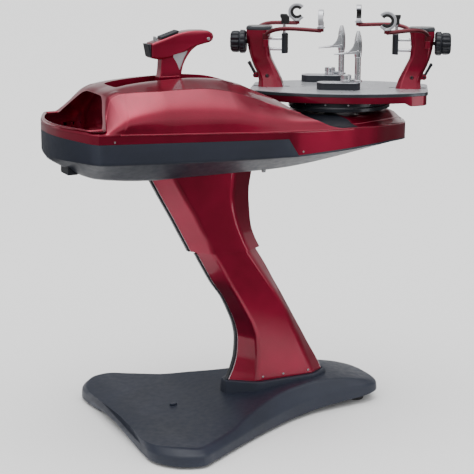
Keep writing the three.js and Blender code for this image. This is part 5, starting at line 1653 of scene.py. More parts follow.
@dataclass
class Console:
    """Control panel on the far shoulder, with its window and two keys."""

    x: float = -262
    y: float = 167
    z: float = 916
    tilt: float = radians(45)
    length: float = 150
    width: float = 54
    thick: float = 12
    proud: float = 4
    window: tuple[float, float, float] = (62, 30, 2)
    key_size: float = 15
    key_travel: float = 1.5
    key_proud: float = 2.5
    key_deep: float = 7
    key_pitch: float = 24
    key_from: float = 18

    def matrix(self) -> Matrix:
        """Returns the move from the panel's own frame to the drawing's."""
        return Matrix.Translation((self.x, self.y, self.z)) @ Matrix.Rotation(-self.tilt, 4, "X")

    def block(self, grow: float) -> Solid:
        """The panel's body as a plain block, set out for its seat.

        Args:
            grow: How far it is set out.

        Returns:
            The solid.
        """
        top = self.proud + (OVERRUN if grow else 0)
        half_x, half_y = self.length / 2 + grow, self.width / 2 + grow
        outline = box_outline(-half_x, half_x, -half_y, half_y, 2.0)
        return plate([outline], self.proud - self.thick - grow, top, 0.8).turned(self.matrix())

    def key_outline(self, index: int, grow: float) -> list[np.ndarray]:
        """Returns the outline of one key."""
        x, half = self.key_from + index * self.key_pitch, self.key_size / 2 + grow
        return box_outline(x - half, x + half, -half, half, 2.0)

    def build(self, shop: Workshop) -> None:
        """Builds and dresses the panel, its screen and its keys.

        Args:
            shop: The workshop.
        """
        length, width, deep = self.window
        centre = -length * 0.55
        screen = box_outline(centre - length / 2, centre + length / 2, -width / 2, width / 2, 2)
        frame = box_outline(-self.length / 2, self.length / 2, -self.width / 2, self.width / 2, 4)
        keys = [self.key_outline(index, RUN_GAP) for index in (0, 1)]
        face = plate([frame, screen, *keys], self.proud - deep, self.proud, 0.5)
        body = plate([frame, *keys], self.proud - self.key_deep, self.proud - deep + 0.1, 0.2)
        back = plate([frame], self.proud - self.thick, self.proud - self.key_deep + 0.1, 0.8)
        shop.fit(face.with_(body, back).turned(self.matrix()), "console_panel",
                 Mount("upper", Finish.BLACK_PLASTIC, ("control_console",)))
        glass = plate([box_outline(centre - length / 2 + 0.4, centre + length / 2 - 0.4, -width / 2 + 0.4,
                                   width / 2 - 0.4, 1.6)], self.proud - deep, self.proud - deep + 0.7, 0.2)
        shop.fit(glass.turned(self.matrix()), "console_screen", Mount("upper", Finish.DARK_METAL))
        for index, (name, node) in enumerate((("down_key", "key_down"), ("up_key", "key_up"))):
            low = self.proud - self.key_deep + self.key_travel + RUN_GAP
            cap = plate([self.key_outline(index, 0)], low, self.proud + self.key_proud, 1.0, 3)
            middle = self.key_from + index * self.key_pitch
            mark = [(middle - 3.5, -2), (middle + 3.5, -2), (middle, 3.5)]
            if index == 0:
                mark = [(x, -y) for x, y in mark]
            arrow = plate([mark], self.proud + self.key_proud - 0.3, self.proud + self.key_proud + 0.25, 0.1)
            shop.fit(cap.turned(self.matrix()), f"{name}_cap", Mount(name, Finish.SILVER, (node,)))
            shop.fit(arrow.turned(self.matrix()), f"{name}_arrow", Mount(name, Finish.RUBBER))


@dataclass
class Inlet:
    """Power inlet and its rocker under the tray end."""

    x: float = -583
    width: float = 26
    near: float = -76
    far: float = -18
    top: float = 766
    bottom: float = 733
    socket: float = 12
    socket_deep: float = 14
    rocker_pocket: float = 13
    rocker_width: float = 12
    rocker_length: float = 20
    rocker_height: float = 9

    def block(self, grow: float) -> Solid:
        """The inlet's body as a plain block, set out for its seat.

        Args:
            grow: How far it is set out.

        Returns:
            The solid.
        """
        half = self.width / 2 + grow
        return plate([box_outline(self.x - half, self.x + half, self.near - grow, self.far + grow, 1.5)],
                     self.bottom - (OVERRUN if grow else 0), self.top, 0.6)

    def build(self, shop: Workshop) -> None:
        """Builds and dresses the inlet, its pin and the rocker.

        Args:
            shop: The workshop.
        """
        half = self.width / 2
        frame = box_outline(self.x - half, self.x + half, self.near, self.far, 1.5)
        y, reach = self.near + self.socket, self.socket * 0.75
        socket = box_outline(self.x - reach, self.x + reach, y - reach, y + reach, 2)
        rocker_y = self.far - self.rocker_pocket
        half_length, half_width = self.rocker_length / 2 + RUN_GAP, self.rocker_width / 2 + RUN_GAP
        pocket = box_outline(self.x - half_length, self.x + half_length, rocker_y - half_width,
                             rocker_y + half_width, 0.6)
        ledge, floor = self.bottom + self.rocker_height, self.bottom + self.socket_deep
        lip = plate([frame, socket, pocket], self.bottom, ledge + 2, 0.6)
        deep = plate([frame, socket], ledge + 1.9, floor, 0.2)
        back = plate([frame], floor - 0.1, self.top, 0.6)
        shop.fit(lip.with_(deep, back), "inlet_body", Mount("upper", Finish.BLACK_PLASTIC, ("power_inlet",)))
        pins = [block(self.x + dx - 1, self.x + dx + 1, y + dy - 2.5, y + dy + 2.5, self.bottom + 3,
                      floor + 1, 0.4) for dx, dy in ((-4, 2), (4, 2), (0, -3))]
        shop.fit(pins[0].with_(*pins[1:]), "inlet_pins", Mount("upper", Finish.CHROME))
        length, low = self.rocker_length / 2, self.bottom - 1
        shape = [(-length, low + 3), (0, low + 1), (length, low - 1), (length * 0.8, low + 6.75),
                 (0, low + self.rocker_height), (-length * 0.8, low + 6.75)]
        rocker = side_plate(rounded(shape, 1.2, 3, closed=True), self.rocker_width / 2, 0.8)
        shop.fit(rocker.at(self.x, rocker_y, 0), "rocker_cap",
                 Mount("switch", Finish.BLACK_PLASTIC, ("power_switch",)))


@dataclass
class TensionHead:
    """The head that pulls the string: body, end cap, gripper and roller."""

    left: float = -341
    length: float = 178
    base: float = 948
    height: float = 131
    half: float = 22
    edge: float = 6
    stem_half: float = 17
    roller: tuple[float, float, float] = (-180, 1055, 9)
    leg_half: float = 15
    outline: tuple[Point2, ...] = (
        (0.0, 0.48), (0.0, 0.77), (0.2, 0.855), (0.44, 0.96), (0.64, 1.0), (0.91, 0.985),
        (0.98, 0.93), (1.0, 0.86), (0.98, 0.78), (0.93, 0.74), (0.86, 0.725), (0.75, 0.69),
        (0.62, 0.635), (0.5, 0.555), (0.36, 0.49), (0.22, 0.455), (0.13, 0.44))
    radii: tuple[float, ...] = (3, 4, 20, 20, 20, 12, 12, 12, 12, 12, 20, 20, 20, 20, 20, 12, 12)
    leg: tuple[Point2, ...] = (
        (0.18, 0.6), (0.8, 0.8), (0.75, 0.685), (0.65, 0.6), (0.575, 0.465), (0.515, 0.32), (0.46, 0.0),
        (0.12, 0.0), (0.155, 0.2), (0.165, 0.38))
    leg_radii: tuple[float, ...] = (6, 6, 20, 20, 20, 20, 4, 4, 20, 12)
    web: tuple[Point2, ...] = ((0.33, 0.53), (0.6, 0.6), (0.53, 0.45), (0.455, 0.2), (0.41, 0.36))
    stem: tuple[float, float, float] = (-319, -260, 884.3)
    jaw_x: float = -322
    grip: Point2 = (-310, -262)
    jaw_deep: float = 6

    def place(self, share: Point2) -> Point2:
        """Returns the place of a share of the head's length and height."""
        return (self.left + share[0] * self.length, self.base + share[1] * self.height)

    def top_at(self, x: float) -> float:
        """Returns the height of the head's top edge at one place."""
        crest = self.outline[1:6]
        return self.base + self.height * float(np.interp((x - self.left) / self.length, *zip(*crest)))

    def body(self) -> Solid:
        """The head with its web recesses and roller slot.

        Returns:
            The solid.
        """
        outline = rounded([self.place(share) for share in self.outline], self.radii, 4, closed=True)
        leg = rounded([self.place(share) for share in self.leg], self.leg_radii, 4, closed=True)
        form = joined(side_plate(outline, self.half, self.edge), side_plate(leg, self.leg_half, 2.5))
        left, right, bottom = self.stem
        neck = block(left, right, -self.stem_half, self.stem_half, bottom, self.base + self.edge + 8, 2)
        x, z, _ = self.roller
        slot = block(x - 12, x + 40, -9, 9, self.base + self.height / 2, z + 12, 0.5)
        sides = [self.web_plate(0, self.leg_half - 3, side * (self.leg_half + 3)) for side in (1, -1)]
        return cut(joined(form, neck), slot, *sides)

    def web_plate(self, inset: float, deep: float, middle: float) -> Solid:
        """Returns a slab with the outline of the web between the legs of the stem."""
        corners = [self.place(share) for share in self.web]
        return side_plate(rounded(corners, 5, 3, closed=True), deep / 2, 0.4 + inset).at(0, middle, 0)

    def build(self, shop: Workshop) -> None:
        """Builds and dresses the head and what sits on it.

        Args:
            shop: The workshop.
        """
        shop.fit(self.body(), "head_body", Mount("tension", Finish.RED_SHELL, ("tension_head",), 0.8))
        x, low, high = self.left - SEAT_GAP, self.base + 0.5 * self.height, self.base + 0.76 * self.height
        cap = rounded([(x, low), (x, high), (x - 9, high), (x - 2, low)], 1.5, 3, closed=True)
        shop.fit(side_plate(cap, 19, 1.5), "head_cap",
                 Mount("tension", Finish.BLACK_PLASTIC, ("head_end_cap",)))
        x0, x1 = self.grip
        z0, z1 = (self.top_at(at) + SEAT_GAP for at in (x0, x1))
        slab = rounded([(x0, z0), (x1, z1), (x1, z1 + 6), (x0, z0 + 6)], 1.5, 3, closed=True)
        shop.fit(side_plate(slab, 16, 1.2), "gripper_pad",
                 Mount("tension", Finish.BLACK_PLASTIC, ("gripper_plate",)))
        # Painted reflection: the pale silver inlays on the web recesses stand in for the light the recessed
        # faces mirror.
        webs = [self.web_plate(0, 2, side * (self.leg_half - 3.4)) for side in (1, -1)]
        shop.fit(webs[0].with_(webs[1]), "stem_web_reflections", Mount("tension", Finish.SILVER))
        self.jaw(shop)
        self.string_roller(shop)

    def jaw(self, shop: Workshop) -> None:
        """Builds the gripper's tilting jaw.

        Args:
            shop: The workshop.
        """
        z = self.top_at(self.jaw_x) - self.jaw_deep
        barrel = drum(4.5, -11, 11, 0.6, 32).turned(ALONG_Y).at(self.jaw_x, 0, z)
        pin = drum(2.5, -16, 16, 0.4, 24).turned(ALONG_Y).at(self.jaw_x, 0, z)
        blade = block(self.jaw_x - 2.5, self.jaw_x + 2.5, -11, 11, z, z + 16, 1.0)
        shop.fit(joined(barrel, pin, blade), "jaw_blade", Mount("jaw", Finish.CHROME, ("gripper_jaw",)))

    def string_roller(self, shop: Workshop) -> None:
        """Builds the grooved roller and the screws at its ends.

        Args:
            shop: The workshop.
        """
        x, z, radius = self.roller
        groove = rounded([(radius - 0.5, -8.4), (radius, -8), (radius, -5), (6, 0), (radius, 5), (radius, 8),
                          (radius - 0.5, 8.4)], 1.5, 3)
        profile = [(0, -16), (3, -16), (3, -8.4), *groove, (3, 8.4), (3, 16), (0, 16)]
        shop.fit(lathe(profile, 48).turned(ALONG_Y).at(x, 0, z), "roller_wheel",
                 Mount("roller", Finish.CHROME, ("string_roller",)))
        heads = [screw_head(4.4).turned(Matrix.Translation((x, side * self.half, z)) @ facing(side))
                 for side in (1, -1)]
        shop.fit(heads[0].with_(*heads[1:]), "roller_screws", Mount("tension", Finish.STEEL))


@dataclass
class Turntable:
    """The turning plate and the skirt under it, in their own frame."""

    top: float = 903
    thick: float = 10
    half_length: float = 245
    oval: float = 290
    half_depth: float = 150
    skirt_inset: float = 3
    skirt_wall: float = 6
    skirt_drop: float = 18
    end_drop: float = 27
    end_from: float = 196
    hub_radius: float = 58
    hub_bottom: float = 858.3
    shaft_radius: float = 20
    shaft_bottom: float = 762
    slot: tuple[float, float, float] = (138, 240, 8)
    corner_share: float = 0.08
    disc_radius: float = 142
    disc_wall: float = 14
    disc_bottom: float = 851
    sheet: float = 1.2

    def outline(self, inset: float, steps: int = 30) -> list[np.ndarray]:
        """The plate's outline.

        Args:
            inset: How far inside the edge it runs.
            steps: Number of pieces in a quarter.

        Returns:
            The points of the ring.
        """
        long = self.half_length - inset
        quarter = []
        for i in range(steps + 1):
            x = long * (1 - self.corner_share) * sin(i / steps * pi / 2)
            quarter.append((x, (self.half_depth - inset) * sqrt(1 - (x / self.oval) ** 2)))
        shoulder = quarter[-1][1]
        quarter += [(long * (1 - self.corner_share / 3), shoulder * 0.93), (long, shoulder * 0.8)]
        right = [*quarter, *((x, -y) for x, y in reversed(quarter))]
        left = [*((-x, -y) for x, y in quarter[1:]), *((-x, y) for x, y in reversed(quarter[1:]))]
        return rounded([*right, *left], 9, 3, closed=True)

    def skirt(self) -> Solid:
        """The skirt, deeper at both ends, with its web and hub.

        Returns:
            The solid.
        """
        top = self.top - self.thick - SEAT_GAP
        outer = self.outline(self.skirt_inset, 40)
        inner = self.outline(self.skirt_inset + self.skirt_wall, 40)
        rings = []
        for (ox, oy), (ix, iy) in zip(outer, inner):
            share = min(1.0, max(0.0, (abs(ox) - self.end_from + 14) / 22))
            drop = self.skirt_drop + (self.end_drop - self.skirt_drop) * share**2 * (3 - 2 * share)
            bottom = top - drop
            section = [(0, top), (0, bottom + 2.5), (0.12, bottom + 0.7), (0.4, bottom), (0.8, bottom + 0.3),
                       (1, bottom + 1.2), (1, top)]
            rings.append([(ox + (ix - ox) * t, oy + (iy - oy) * t, z) for t, z in section])
        wall = skin(rings, loop=True)
        web = plate([self.outline(self.skirt_inset + 1)], top - 6, top, 0.3)
        return wall.with_(web)

    def hub(self) -> Solid:
        """The dark drum under the skirt, with its hub and its shaft.

        Returns:
            The solid.
        """
        low, high = self.disc_bottom, self.top - self.thick - 5
        bore, rim = self.disc_radius - self.disc_wall, self.disc_radius - 2
        profile = [(bore, low), (self.disc_radius, low), (self.disc_radius, low + 10), (rim, low + 12),
                   (rim, high), (bore, high)]
        hub = drum(self.hub_radius, self.hub_bottom, high, 1.5, 72)
        shaft = drum(self.shaft_radius, self.shaft_bottom, self.hub_bottom + 6, 1.5, 40)
        return lathe(rounded(profile, 1.5, 3, closed=True), 120, loop=True).with_(hub, shaft)

    def build(self, shop: Workshop, clamps: Sequence["Clamp"]) -> None:
        """Builds and dresses the plate, its rim and the skirt.

        Args:
            shop: The workshop.
            clamps: The string clamps.
        """
        frame = shop.table_frame()
        start, end, half = self.slot
        openings = [box_outline(*ends, -half, half, 3) for ends in ((start, end), (-end, -start))]
        for clamp in clamps:
            openings.append([(x + clamp.pivot_x(), y + clamp.y) for x, y in ellipse(8.6, 8.6, 32)])
        disc = plate([self.outline(0), *openings], self.top - self.thick, self.top - self.sheet, 0.9, 2)
        shop.fit(disc.turned(frame), "table_plate",
                 Mount("turntable", Finish.DARK_PLATE, ("turntable_plate",)))
        sheet = plate([self.outline(1.0), *openings], self.top - self.sheet - 0.1, self.top, 0.35, 2)
        shop.fit(sheet.turned(frame), "table_sheet", Mount("turntable", Finish.SILVER))
        shop.fit(self.skirt().turned(frame), "table_skirt",
                 Mount("turntable", Finish.RED_SHELL, ("turntable_skirt",)))
        shop.fit(self.hub().turned(frame), "table_brake", Mount("turntable", Finish.DARK_METAL))
        bolts = [screw_head(2.6).turned(Matrix.Rotation(a, 4, "Z") @ Matrix.Translation(
            (self.disc_radius - 2.2, 0, self.disc_bottom + 19)) @ ALONG_X)
            for a in np.linspace(0, 2 * pi, 14, endpoint=False)]
        shop.fit(bolts[0].with_(*bolts[1:]).turned(frame), "table_bolts", Mount("turntable", Finish.STEEL))
        rails = []
        for side in (1, -1):
            for end_sign in (1, -1):
                x0, x1 = sorted((end_sign * (start + 2), end_sign * (end - 6)))
                y0, y1 = sorted((side * (half + 2), side * (half + 7)))
                rails.append(block(x0, x1, y0, y1, self.top - 0.4, self.top + 0.25, 0.2))
        shop.fit(rails[0].with_(*rails[1:]).turned(frame), "table_rails", Mount("turntable", Finish.SILVER))


@dataclass
class Clamp:
    """A string clamp: oblong base, turning post with its head, and the cam lever."""

    name: str
    x: float
    y: float
    post_x: float
    base_bottom: float = 903.3
    base_top: float = 923
    half: float = 22
    length: float = 120
    pivot_share: float = 0.32
    head: tuple[float, float, float, float] = (992, 1063, 6, 11)
    post_radius: float = 8.5
    foot_radius: float = 13
    foot_thick: float = 6
    collar: tuple[float, float, float] = (15, 20, 32)
    lever_z: float = 1006

    def pivot_x(self) -> float:
        """Returns the place of the pivot that the base swivels on."""
        return self.x - self.length * self.pivot_share

    def build(self, shop: Workshop) -> None:
        """Builds and dresses the clamp.

        Args:
            shop: The workshop.
        """
        frame = shop.table_frame()
        self.base(shop, frame @ Matrix.Translation((self.x, self.y, 0)))
        self.post(shop, frame @ Matrix.Translation((self.post_x, self.y, 0)))
        self.lever(shop, frame @ Matrix.Translation((self.post_x, self.y, self.lever_z)))

    def base(self, shop: Workshop, frame: Matrix) -> None:
        """Builds the oblong base and the bright plate on it.

        Args:
            shop: The workshop.
            frame: The move from its own frame to the drawing's.
        """
        reach = self.length / 2 - self.half
        outline = [(x + dx, y) for x, start in ((reach, -pi / 2), (-reach, pi / 2))
                   for dx, y in arc(self.half, self.half, start)]
        bore = [(x + self.post_x - self.x, y) for x, y in ellipse(5.6, 5.6, 24)]
        body = plate([outline, bore], self.base_bottom, self.base_top - 1.6, 0.8)
        spigot = drum(8, self.base_bottom - 8, self.base_bottom + 3, 0.5).at(self.pivot_x() - self.x, 0, 0)
        mount = Mount(f"{self.name}_clamp_foot", Finish.BLACK_PLASTIC, (f"{self.name}_clamp_base",))
        shop.fit(body.with_(spigot).turned(frame), f"{self.name}_clamp_block", mount)
        share = 1 - 0.4 / self.half
        edge = [(x * share, y * share) for x, y in outline]
        lid = plate([edge, bore], self.base_top - 1.6, self.base_top, 0.5)
        shop.fit(lid.turned(frame), f"{self.name}_clamp_lid", Mount(mount.body, Finish.SILVER))
        screw = screw_head(5).at(self.pivot_x() - self.x, 0, self.base_top - 0.4)
        shop.fit(screw.turned(frame), f"{self.name}_clamp_screw", Mount(mount.body, Finish.STEEL))

    def post(self, shop: Workshop, frame: Matrix) -> None:
        """Builds the post, its jaws and the collar beside it.

        Args:
            shop: The workshop.
            frame: The move from its own frame to the drawing's.
        """
        bottom = self.base_top + SEAT_GAP
        low, high, half, wide = self.head
        foot = drum(self.foot_radius, bottom, bottom + self.foot_thick, 1.0, 48)
        shank = drum(self.post_radius, bottom, low, 0.8, 40)
        spigot = drum(5, self.base_top - 12, bottom + 3, 0.5, 32)
        rows = ((0.0, 0.62, 0.8), (0.12, 0.9, 0.95), (0.3, 1.0, 1.0), (0.62, 0.98, 1.0), (0.85, 0.72, 0.85),
                (1.0, 0.42, 0.6))
        stations = Stations(rows)
        rings = []
        for share, (across, deep) in zip(np.linspace(0, 1, 24), stations.smooth(np.linspace(0, 1, 24))):
            z = low - half + share * (high - low + half)
            rings.append([(x, y, z) for x, y in ellipse(wide * across, half * deep, 36)])
        crown = skin(rings)
        radius, rise, offset = self.collar
        steps = ((0, RUN_GAP), (radius, RUN_GAP), (radius, 5), (radius - 1.6, 5.6), (radius - 1.6, 8),
                 (radius, 8.6), (radius, rise), (radius - 4, rise), (radius - 5, rise - 2), (0, rise - 2))
        line = rounded([(step, bottom + z) for step, z in steps], 0.8, 2)
        collar = lathe(line, 48).at(-offset, 0, 0)
        tongue = plate([rounded([(-offset, -10), (0, -7), (0, 7), (-offset, 10)], 2, 2, closed=True)],
                       bottom + RUN_GAP, bottom + 9, 0.8)
        whole = joined(foot, shank, spigot, crown, collar, tongue)
        slot = block(-wide - OVERRUN, wide + OVERRUN, -1.5, 1.5, high - 34, high + OVERRUN, 0.2)
        bore = drum(3.6, -half - OVERRUN, half + OVERRUN, 0.1, 24).turned(ALONG_Y).at(0, 0, self.lever_z)
        mount = Mount(f"{self.name}_clamp_column", Finish.CHROME, (f"{self.name}_clamp_post",))
        shop.fit(cut(whole, slot, bore).turned(frame), f"{self.name}_clamp_jaws", mount)

    def lever(self, shop: Workshop, frame: Matrix) -> None:
        """Builds the cam lever: two cheeks, their bridge and the pin.

        Args:
            shop: The workshop.
            frame: The move from its own frame to the drawing's.
        """
        half = self.head[2]
        near, thick, length, drop, bridge = half + RUN_GAP, 5.0, 66.0, 7.0, 20.0
        far = near + thick

        def slope(x: float) -> float:
            """Returns the height of the lever's middle line."""
            return drop * x / length

        cheeks = []
        back = -bridge - 5
        for side in (1, -1):
            middle = side * (near + thick / 2)
            bar = rounded([(back, slope(back) - 2.5), (0, -2.5), (3.5, 0), (0, 3.5),
                           (back, slope(back) + 2.5)], 2, 3, closed=True)
            cheeks.append(side_plate(bar, thick / 2, 0.8).at(0, middle, 0))
            cheeks.append(drum(5, middle - thick / 2, middle + thick / 2, 0.8, 32).turned(ALONG_Y))
        rings = []
        for share in np.linspace(0, 1, 14):
            x = -bridge - share * (length - bridge)
            wide = far * (1 - 0.62 * share**0.8)
            deep = 3.0 * (1 - 0.4 * share)
            ring = rounded([(-wide, -deep), (wide, -deep), (wide, deep), (-wide, deep)], 1.6, 3, closed=True)
            rings.append([(x, float(y), slope(x) + float(z)) for y, z in ring])
        pin = drum(3, -far, far, 0.4, 24).turned(ALONG_Y)
        for side in (1, -1):
            fin = rounded([(2, -5), (4, 8), (1, 27), (-4, 36), (-9, 30), (-15, 12), (-24, 2), (-33, -0.5),
                           (-24, -5)], (3, 6, 8, 3, 9, 9, 6, 2, 3), 4, closed=True)
            cheeks.append(side_plate(fin, thick / 2 - 0.4, 1.2).at(0, side * (near + thick / 2), 0))
        whole = joined(skin(rings), *cheeks, pin)
        mount = Mount(f"{self.name}_clamp_handle", Finish.CHROME, (f"{self.name}_clamp_lever",))
        shop.fit(whole.turned(frame), f"{self.name}_clamp_arm", mount)


@dataclass
class Tower:
    """One tower of the turntable with its knob, latch, support, pad, arms and hooks."""

    name: str
    turn: float
    foot: float = 903.3
    height: float = 157
    inner: float = 156
    width: float = 70
    half: float = 30
    chamfer: float = 13
    rows: tuple[Row, ...] = (
        (0.0, 0.0, 1.0, 1.0),
        (0.12, 0.08, 0.985, 0.92),
        (0.24, 0.2, 1.05, 0.85),
        (0.38, 0.36, 1.2, 0.82),
        (0.56, 0.53, 1.34, 0.87),
        (0.76, 0.57, 1.43, 0.93),
        (0.91, 0.53, 1.47, 0.97),
        (1.0, 0.49, 1.47, 0.97),
    )
    knob_z: float = 1026
    knob_from: float = 260.5
    rod_heights: Point2 = (1035, 1006)
    carrier: Point2 = (995, 1051)
    pad_x: float = 155
    arm_reach: float = 41
    hub_radius: float = 8.5
    hub_bottom: float = 1037
    hub_height: float = 16
    arm_radius: float = 5.8
    arm_rise: float = 21
    path_z: float = 1049
    eye: tuple[float, float, float] = (8, 1064, 9)
    stub: tuple[float, float] = (3, 9)
    route: tuple[tuple[float, float, float], ...] = (
        (0.0, 0.0, 0.0), (0.13, 0.07, 0.55), (0.32, 0.11, 0.92), (0.55, 0.09, 1.0), (1.0, 0.0, 0.84))
    long_arm: tuple[float, float, float] = (203, 48, 98)
    short_arm: tuple[float, float, float] = (240, 130, 140)
    latch_place: Point2 = (234, 934)
    latch_half: float = 11
    latch_length: float = 38
    latch_lean: float = radians(28)

    def fit(self, shop: Workshop, solid: Solid, piece: str, body: str, finish: Finish, *nodes: str) -> None:
        """Makes a piece of this tower out of a solid in the tower's own frame."""
        mount = Mount(f"{self.name}_{body}", finish, tuple(f"{self.name}_{node}" for node in nodes))
        shop.fit(solid.turned(shop.table_frame(self.turn)), f"{self.name}_{piece}", mount)

    def section(self, share: float) -> tuple[float, float, float, float]:
        """The inner edge, outer edge, half depth and height of a section.

        Args:
            share: The share of the way up.

        Returns:
            Its left and right edge, its half width and its height.
        """
        low, high, half = Stations(self.rows).smooth(np.array([share]))[0]
        return (self.inner + low * self.width, self.inner + high * self.width, half * self.half,
                self.foot + share * self.height)

    def ring(self, share: float, grow: float = 0.0) -> list[Point3]:
        """One section, with its corners cut off at an angle and softened.

        Args:
            share: Share of the tower's height.
            grow: How far it is set out.

        Returns:
            The ring.
        """
        x0, x1, half, z = self.section(share)
        x0, x1, half = x0 - grow, x1 + grow, half + grow
        side = self.chamfer * (0.55 + 0.9 * abs(share - 0.45))
        deep = self.chamfer * 0.75
        corners = [(x0 + side, -half), (x1 - side, -half), (x1, -half + deep), (x1, half - deep),
                   (x1 - side, half), (x0 + side, half), (x0, half - deep), (x0, -half + deep)]
        return [(float(x), float(y), z) for x, y in rounded(corners, 3.2, 3, closed=True)]

    def body(self, shop: Workshop) -> None:
        """Builds the tower's casting with its arm bosses, ears and bores.

        Args:
            shop: The workshop.
        """
        rings = [self.ring(share) for share in np.linspace(0, 1, 48)]
        parts = [block(176, 210, -7, 7, self.foot - 8, self.foot + 8, 0.6)]
        for x, side in ((self.long_arm[0], 1), (self.short_arm[0], -1)):
            top = self.hub_bottom - RUN_GAP
            y = side * self.arm_reach
            parts.append(drum(self.hub_radius, top - 20, top, 1.2, 40).at(x, y, 0))
            parts.append(block(x - 8, x + 8, min(0, y), max(0, y), top - 19.5, top - 0.5, 2))
            parts.append(drum(4, top - 10, self.hub_bottom + self.hub_height + RUN_GAP, 0.5, 28).at(x, y, 0))
        latch_x, latch_z = self.latch_place
        for side in (1, -1):
            y0, y1 = sorted((side * (self.latch_half + RUN_GAP), side * (self.latch_half + RUN_GAP + 4)))
            parts.append(drum(7, y0, y1, 0.8, 32).turned(ALONG_Y).at(latch_x, 0, latch_z))
            parts.append(block(self.inner + 35, latch_x, y0, y1, latch_z - 6.8, latch_z + 6.8, 0.6))
        whole = joined(skin(rings), *parts)
        shaft = drum(5.6, self.knob_from - 12.6, self.knob_from + 20, 0.1, 28)
        tools = [drum(3.1, -40, 40, 0.1, 24).turned(ALONG_Y).at(latch_x, 0, latch_z),
                 shaft.turned(ALONG_X).at(0, 0, self.knob_z)]
        tools += [drum(5.1, 144, 244, 0.1, 28).turned(ALONG_X).at(0, 0, z) for z in self.rod_heights]
        casting = cut(whole, *tools)
        self.fit(shop, casting, "casting", "tower", Finish.RED_SHELL, "tower_body")
        self.screws(shop)
        bottom = self.foot + self.height + SEAT_GAP
        steps = ((0.2, bottom), (1, bottom + 1.2), (1, bottom + 6.5), (0.2, bottom + 8.4), (-2, bottom + 10))
        rings = [[(x, y, z) for x, y, _ in self.ring(1.0, grow)] for grow, z in steps]
        self.fit(shop, skin(rings), "cap", "tower", Finish.DARK_METAL, "tower_cap")

    def screws(self, shop: Workshop) -> None:
        """Sets the countersunk screw low on each side of the tower.

        Args:
            shop: The workshop.
        """
        heads, rings = [], []
        for side in (1, -1):
            x0, x1, half, z = self.section(0.16)
            place = Matrix.Translation(((x0 + x1) / 2 + 5, side * (half + 0.1), z + 6)) @ facing(side)
            heads.append(screw_head(3.4).turned(place))
            edge = [(3.6, -2), (6.2, -2), (6.2, 0.5), (4.4, 0.9), (3.6, 0.3)]
            collar = lathe(rounded(edge, 0.3, 2, closed=True), 32, loop=True)
            rings.append(collar.turned(place))
        self.fit(shop, heads[0].with_(heads[1]), "side_screws", "tower", Finish.DARK_METAL)
        self.fit(shop, rings[0].with_(rings[1]), "side_collars", "tower", Finish.RED_METAL)

    def knob(self, shop: Workshop) -> None:
        """Builds the ribbed knob with its collar and shaft.

        Args:
            shop: The workshop.
        """
        start, inner, outer = self.knob_from, 18.0, 26.0
        profile = ((0.0, 0.8), (0.06, 0.93), (0.16, 0.985), (0.36, 0.99), (0.4, 0.95), (0.43, 0.86),
                   (0.46, 0.85), (0.5, 0.9), (0.7, 0.915), (0.86, 0.89), (0.95, 0.82), (1.0, 0.7))
        stations = Stations(profile)
        rings = []
        for share in np.linspace(0, 1, 44):
            radius = float(stations.smooth(np.array([share]))[0, 0]) * 33
            depth = 3.4 * max(0.0, min(1.0, (share - 0.44) / 0.05))
            depth += 1.9 * max(0.0, min(1.0, (0.36 - share) / 0.05))
            ring = []
            for i in range(144):
                angle = 2 * pi * i / 144
                rib = 0.5 + 0.5 * cos(12 * angle)
                reach = radius - depth * (1 - min(1.0, rib * 1.7))
                ring.append((start + share * (inner + outer), reach * cos(angle),
                             self.knob_z + reach * sin(angle)))
            rings.append(ring)
        shaft = drum(5, start - 12, start + 2, 0.5, 28).turned(ALONG_X).at(0, 0, self.knob_z)
        self.fit(shop, skin(rings).with_(shaft), "knob_grip", "knob", Finish.BLACK_PLASTIC, "tower_knob")
        end = start + inner + outer
        disc = drum(11, end - 1.5, end - 0.1, 0.4, 40).turned(ALONG_X).at(0, 0, self.knob_z)
        self.fit(shop, disc, "knob_disc", "knob", Finish.DARK_METAL)

    def latch(self, shop: Workshop) -> None:
        """Builds the latch lever with its barrel and pin.

        Args:
            shop: The workshop.
        """
        x, z = self.latch_place
        turn = Matrix.Translation((x, 0, z)) @ Matrix.Rotation(self.latch_lean, 4, "Y")
        end = self.latch_length
        strip = rounded([(-3, 0), (3, 0), (3.4, end - 8), (4.6, end + 3), (1, end + 4.6), (-4, end + 2),
                         (-3, end - 8)], 2.5, 3, closed=True)
        lever = side_plate(strip, self.latch_half, 1.0).turned(turn)
        barrel = drum(5, -self.latch_half, self.latch_half, 0.6, 32).turned(ALONG_Y).at(x, 0, z)
        reach = self.latch_half + RUN_GAP + 4
        pin = drum(2.5, -reach, reach, 0.4, 24).turned(ALONG_Y).at(x, 0, z)
        self.fit(shop, joined(lever, barrel, pin), "latch_lever", "latch", Finish.BLACK_PLASTIC,
                 "tower_latch")

    def support(self, shop: Workshop) -> None:
        """Builds the frame support: its block, rods and post.

        Args:
            shop: The workshop.
        """
        back, nose, half = 161.0, 144.0, 16.0
        outline = [(back + x, y) for x, y in arc(back - nose, half, pi / 2)]
        carrier = plate([outline], *self.carrier, 2.4, 3)
        self.fit(shop, carrier, "support_block", "support", Finish.BLACK_PLASTIC, "frame_support")
        liner = [(nose + 3.0 * (1 - cos(a)), half * 0.72 * sin(a)) for a in np.linspace(-pi / 2, pi / 2, 13)]
        pad = plate([[*liner, (nose + 6, half * 0.6), (nose + 6, -half * 0.6)]], 1001, 1045, 0.6)
        self.fit(shop, pad, "support_pad", "support", Finish.RUBBER)
        rods = [drum(4.5, back - 4.5, 228, 0.6, 32).turned(ALONG_X).at(0, 0, z) for z in self.rod_heights]
        post = drum(4, 1046.5, 1096, 0.6, 28).at(self.pad_x, 0, 0)
        self.fit(shop, rods[0].with_(rods[1], post), "support_rods", "support", Finish.CHROME)

